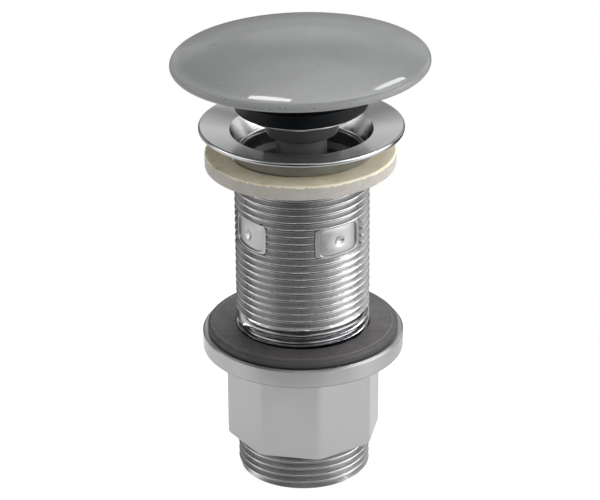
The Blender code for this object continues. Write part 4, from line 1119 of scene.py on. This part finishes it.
def area_light(name, place, target, roll, size, power):
    """Rectangular light at a place, turned to face a target and rolled about that line by degrees."""
    data = bpy.data.lights.new(name, "AREA")
    data.shape = "RECTANGLE"
    data.size, data.size_y = size
    data.energy = power
    lamp = bpy.data.objects.new(name, data)
    lamp.location = place
    facing = (target - place).to_track_quat("-Z", "Y").to_matrix()
    lamp.rotation_euler = (facing @ Matrix.Rotation(math.radians(roll), 3, "Z")).to_euler()
    bpy.context.scene.collection.objects.link(lamp)


def heading(azimuth, elevation):
    """Unit vector: azimuth in degrees from straight behind the part, towards the right, and elevation."""
    turn, rise = math.radians(azimuth), math.radians(elevation)
    return Vector((math.sin(turn) * math.cos(rise), math.cos(turn) * math.cos(rise), math.sin(rise)))


def build_room():
    """Dim room with broad glows round it, white where the camera sees past the part."""
    world = bpy.data.worlds.new("studio")
    bpy.context.scene.world = world
    world.use_nodes = True
    tree = world.node_tree
    direction = node(tree, "TexCoord").outputs["Generated"]
    total = ROOM_LEVEL
    for elevation, full, wide, glows in GLOW_RINGS:
        for azimuth, level in glows:
            facing = node(
                tree, "VectorMath", {0: direction, 1: heading(azimuth, elevation)}, operation="DOT_PRODUCT")
            glow = node(tree, "MapRange", {
                "Value": facing.outputs["Value"], "From Min": math.cos(math.radians(wide)),
                "From Max": math.cos(math.radians(full)), "To Min": 0.0, "To Max": level},
                interpolation_type="SMOOTHSTEP").outputs["Result"]
            total = node(tree, "Math", {0: glow, 1: total}, operation="ADD").outputs[0]
    seen = node(tree, "LightPath").outputs["Is Camera Ray"]
    total = node(tree, "Math", {0: total, 1: seen}, operation="MAXIMUM").outputs[0]
    tree.links.new(total, tree.nodes["Background"].inputs["Color"])


def build_lights():
    """Three soft boxes above: two that show as strips in the cap's glaze, and a wide one at the right."""
    target = Vector(BOX_TARGET)
    for name, azimuth, elevation, roll, size, power in SOFT_BOXES:
        area_light(name, target + heading(azimuth, elevation) * BOX_DISTANCE, target, roll, size, power)


def build_camera():
    """Camera at the photograph's viewing angle, solved from the outlines of the round pieces."""
    data = bpy.data.cameras.new("camera")
    data.sensor_width = CAMERA_SENSOR
    data.lens = CAMERA_LENS
    data.shift_x = CAMERA_SHIFT
    camera = bpy.data.objects.new("camera", data)
    tilt = Matrix.Rotation(math.pi / 2 - CAMERA_DIP, 4, "X") @ Matrix.Rotation(CAMERA_ROLL, 4, "Z")
    camera.matrix_world = Matrix.Translation(CAMERA_PLACE) @ tilt
    bpy.context.scene.collection.objects.link(camera)
    bpy.context.scene.camera = camera
    bpy.context.scene.view_settings.view_transform = "Standard"


# add-on


def length(name, description, default):
    """A length property whose default is given in millimetres."""
    return bpy.props.FloatProperty(
        name=name, description=description, default=default * MM, min=0.0, unit="LENGTH", precision=5)


def lean_angle(name, description, default):
    """A small angle property whose default is given in degrees."""
    return bpy.props.FloatProperty(
        name=name, description=description, default=math.radians(default), min=0.0,
        max=math.radians(1.5), subtype="ANGLE")


def colour(name, description, default):
    """A colour property in linear light."""
    return bpy.props.FloatVectorProperty(
        name=name, description=description, default=default, size=3, min=0.0, max=1.0, subtype="COLOR")


class WasteSizes(bpy.types.PropertyGroup):
    """Sizes of the shapes that the CAD boxes don't give."""

    dome_radius: length("Dome radius", "Radius of the cap's dome", 120.0)
    cap_shoulder: length("Cap shoulder", "Rounding between the dome and the cap's side", 1.8)
    lean: lean_angle("Lean", "Sideways lean of the plug in its cartridge", 1.1)
    nod: lean_angle("Nod", "Forward lean of the plug in its cartridge", 0.5)


class WasteFinishes(bpy.types.PropertyGroup):
    """Colours of the finishes."""

    glaze: colour("Glaze", "Glaze of the cap", (0.163, 0.168, 0.166))
    foam_side: colour("Foam side", "Cut side of the foam washer", (0.42, 0.40, 0.365))
    # Painted light: the foam top's colour is a lit copy of the foam's colour, not a yellowed top.
    foam_top_painted_light: colour("Foam top", "Yellowed top of the foam washer", (0.71, 0.66, 0.525))


class WASTE_OT_cap(bpy.types.Operator):
    """Build the glazed cap"""

    bl_idname = "waste.cap"
    bl_label = "Ceramic cap"
    bl_options = {"REGISTER", "UNDO"}

    def execute(self, context):
        build_cap()
        return {"FINISHED"}


class WASTE_OT_hub(bpy.types.Operator):
    """Build the black hub under the cap"""

    bl_idname = "waste.hub"
    bl_label = "Hub"
    bl_options = {"REGISTER", "UNDO"}

    def execute(self, context):
        build_hub()
        return {"FINISHED"}


class WASTE_OT_seal(bpy.types.Operator):
    """Build the sealing ring and its clamping disc"""

    bl_idname = "waste.seal"
    bl_label = "Seal and disc"
    bl_options = {"REGISTER", "UNDO"}

    def execute(self, context):
        build_seal()
        return {"FINISHED"}


class WASTE_OT_sleeve(bpy.types.Operator):
    """Build the grey sleeve"""

    bl_idname = "waste.sleeve"
    bl_label = "Sleeve"
    bl_options = {"REGISTER", "UNDO"}

    def execute(self, context):
        build_sleeve()
        return {"FINISHED"}


class WASTE_OT_cartridge(bpy.types.Operator):
    """Build the cartridge, its end plug and the spring in it"""

    bl_idname = "waste.cartridge"
    bl_label = "Cartridge"
    bl_options = {"REGISTER", "UNDO"}

    def execute(self, context):
        build_cartridge()
        build_spring()
        return {"FINISHED"}


class WASTE_OT_spider(bpy.types.Operator):
    """Build the spider that carries the cartridge"""

    bl_idname = "waste.spider"
    bl_label = "Spider"
    bl_options = {"REGISTER", "UNDO"}

    def execute(self, context):
        build_spider()
        return {"FINISHED"}


class WASTE_OT_body(bpy.types.Operator):
    """Build the waste body: flange, thread and windows"""

    bl_idname = "waste.body"
    bl_label = "Waste body"
    bl_options = {"REGISTER", "UNDO"}

    def execute(self, context):
        build_body()
        return {"FINISHED"}


class WASTE_OT_washers(bpy.types.Operator):
    """Build the tapered gasket, the foam washer and the grey washer"""

    bl_idname = "waste.washers"
    bl_label = "Gasket and washers"
    bl_options = {"REGISTER", "UNDO"}

    def execute(self, context):
        build_gasket()
        build_foam()
        build_tail_washer()
        return {"FINISHED"}


class WASTE_OT_tail(bpy.types.Operator):
    """Build the tail: flange, octagon and lower thread"""

    bl_idname = "waste.tail"
    bl_label = "Tail"
    bl_options = {"REGISTER", "UNDO"}

    def execute(self, context):
        build_tail()
        return {"FINISHED"}


class WASTE_OT_inner(bpy.types.Operator):
    """Finish the fittings inside the plug and the cartridge"""

    bl_idname = "waste.inner"
    bl_label = "Inner fittings"
    bl_options = {"REGISTER", "UNDO"}

    def execute(self, context):
        finish_inner()
        return {"FINISHED"}


class WASTE_OT_stage(bpy.types.Operator):
    """Set up the pale floor, the soft studio light and the camera"""

    bl_idname = "waste.stage"
    bl_label = "Stage"
    bl_options = {"REGISTER", "UNDO"}

    def execute(self, context):
        build_floor()
        build_room()
        build_lights()
        build_camera()
        return {"FINISHED"}


OPERATORS = (
    WASTE_OT_cap, WASTE_OT_hub, WASTE_OT_seal, WASTE_OT_sleeve, WASTE_OT_cartridge, WASTE_OT_spider,
    WASTE_OT_body, WASTE_OT_washers, WASTE_OT_tail, WASTE_OT_inner, WASTE_OT_stage)


class WASTE_PT_panel(bpy.types.Panel):
    """Sidebar panel that lists the sizes, the colours and the operators"""

    bl_label = "Basin waste"
    bl_space_type = "VIEW_3D"
    bl_region_type = "UI"
    bl_category = "Basin waste"

    def draw(self, context):
        for group in (context.scene.waste_sizes, context.scene.waste_finishes):
            box = self.layout.box()
            for key in group.__annotations__:
                box.prop(group, key)
        for made in OPERATORS:
            self.layout.operator(made.bl_idname)


CLASSES = (WasteSizes, WasteFinishes, *OPERATORS, WASTE_PT_panel)


def register():
    """Register the classes and hang the property groups on the scene."""
    for made in CLASSES:
        bpy.utils.register_class(made)
    bpy.types.Scene.waste_sizes = bpy.props.PointerProperty(type=WasteSizes)
    bpy.types.Scene.waste_finishes = bpy.props.PointerProperty(type=WasteFinishes)


def unregister():
    """Take the property groups and classes away again."""
    del bpy.types.Scene.waste_finishes
    del bpy.types.Scene.waste_sizes
    for made in reversed(CLASSES):
        bpy.utils.unregister_class(made)


def main():
    """Build every piece and the stage."""
    register()
    bpy.ops.waste.cap()
    bpy.ops.waste.hub()
    bpy.ops.waste.seal()
    bpy.ops.waste.sleeve()
    bpy.ops.waste.cartridge()
    bpy.ops.waste.spider()
    bpy.ops.waste.body()
    bpy.ops.waste.washers()
    bpy.ops.waste.tail()
    bpy.ops.waste.inner()
    bpy.ops.waste.stage()


if __name__ == "__main__":
    main()
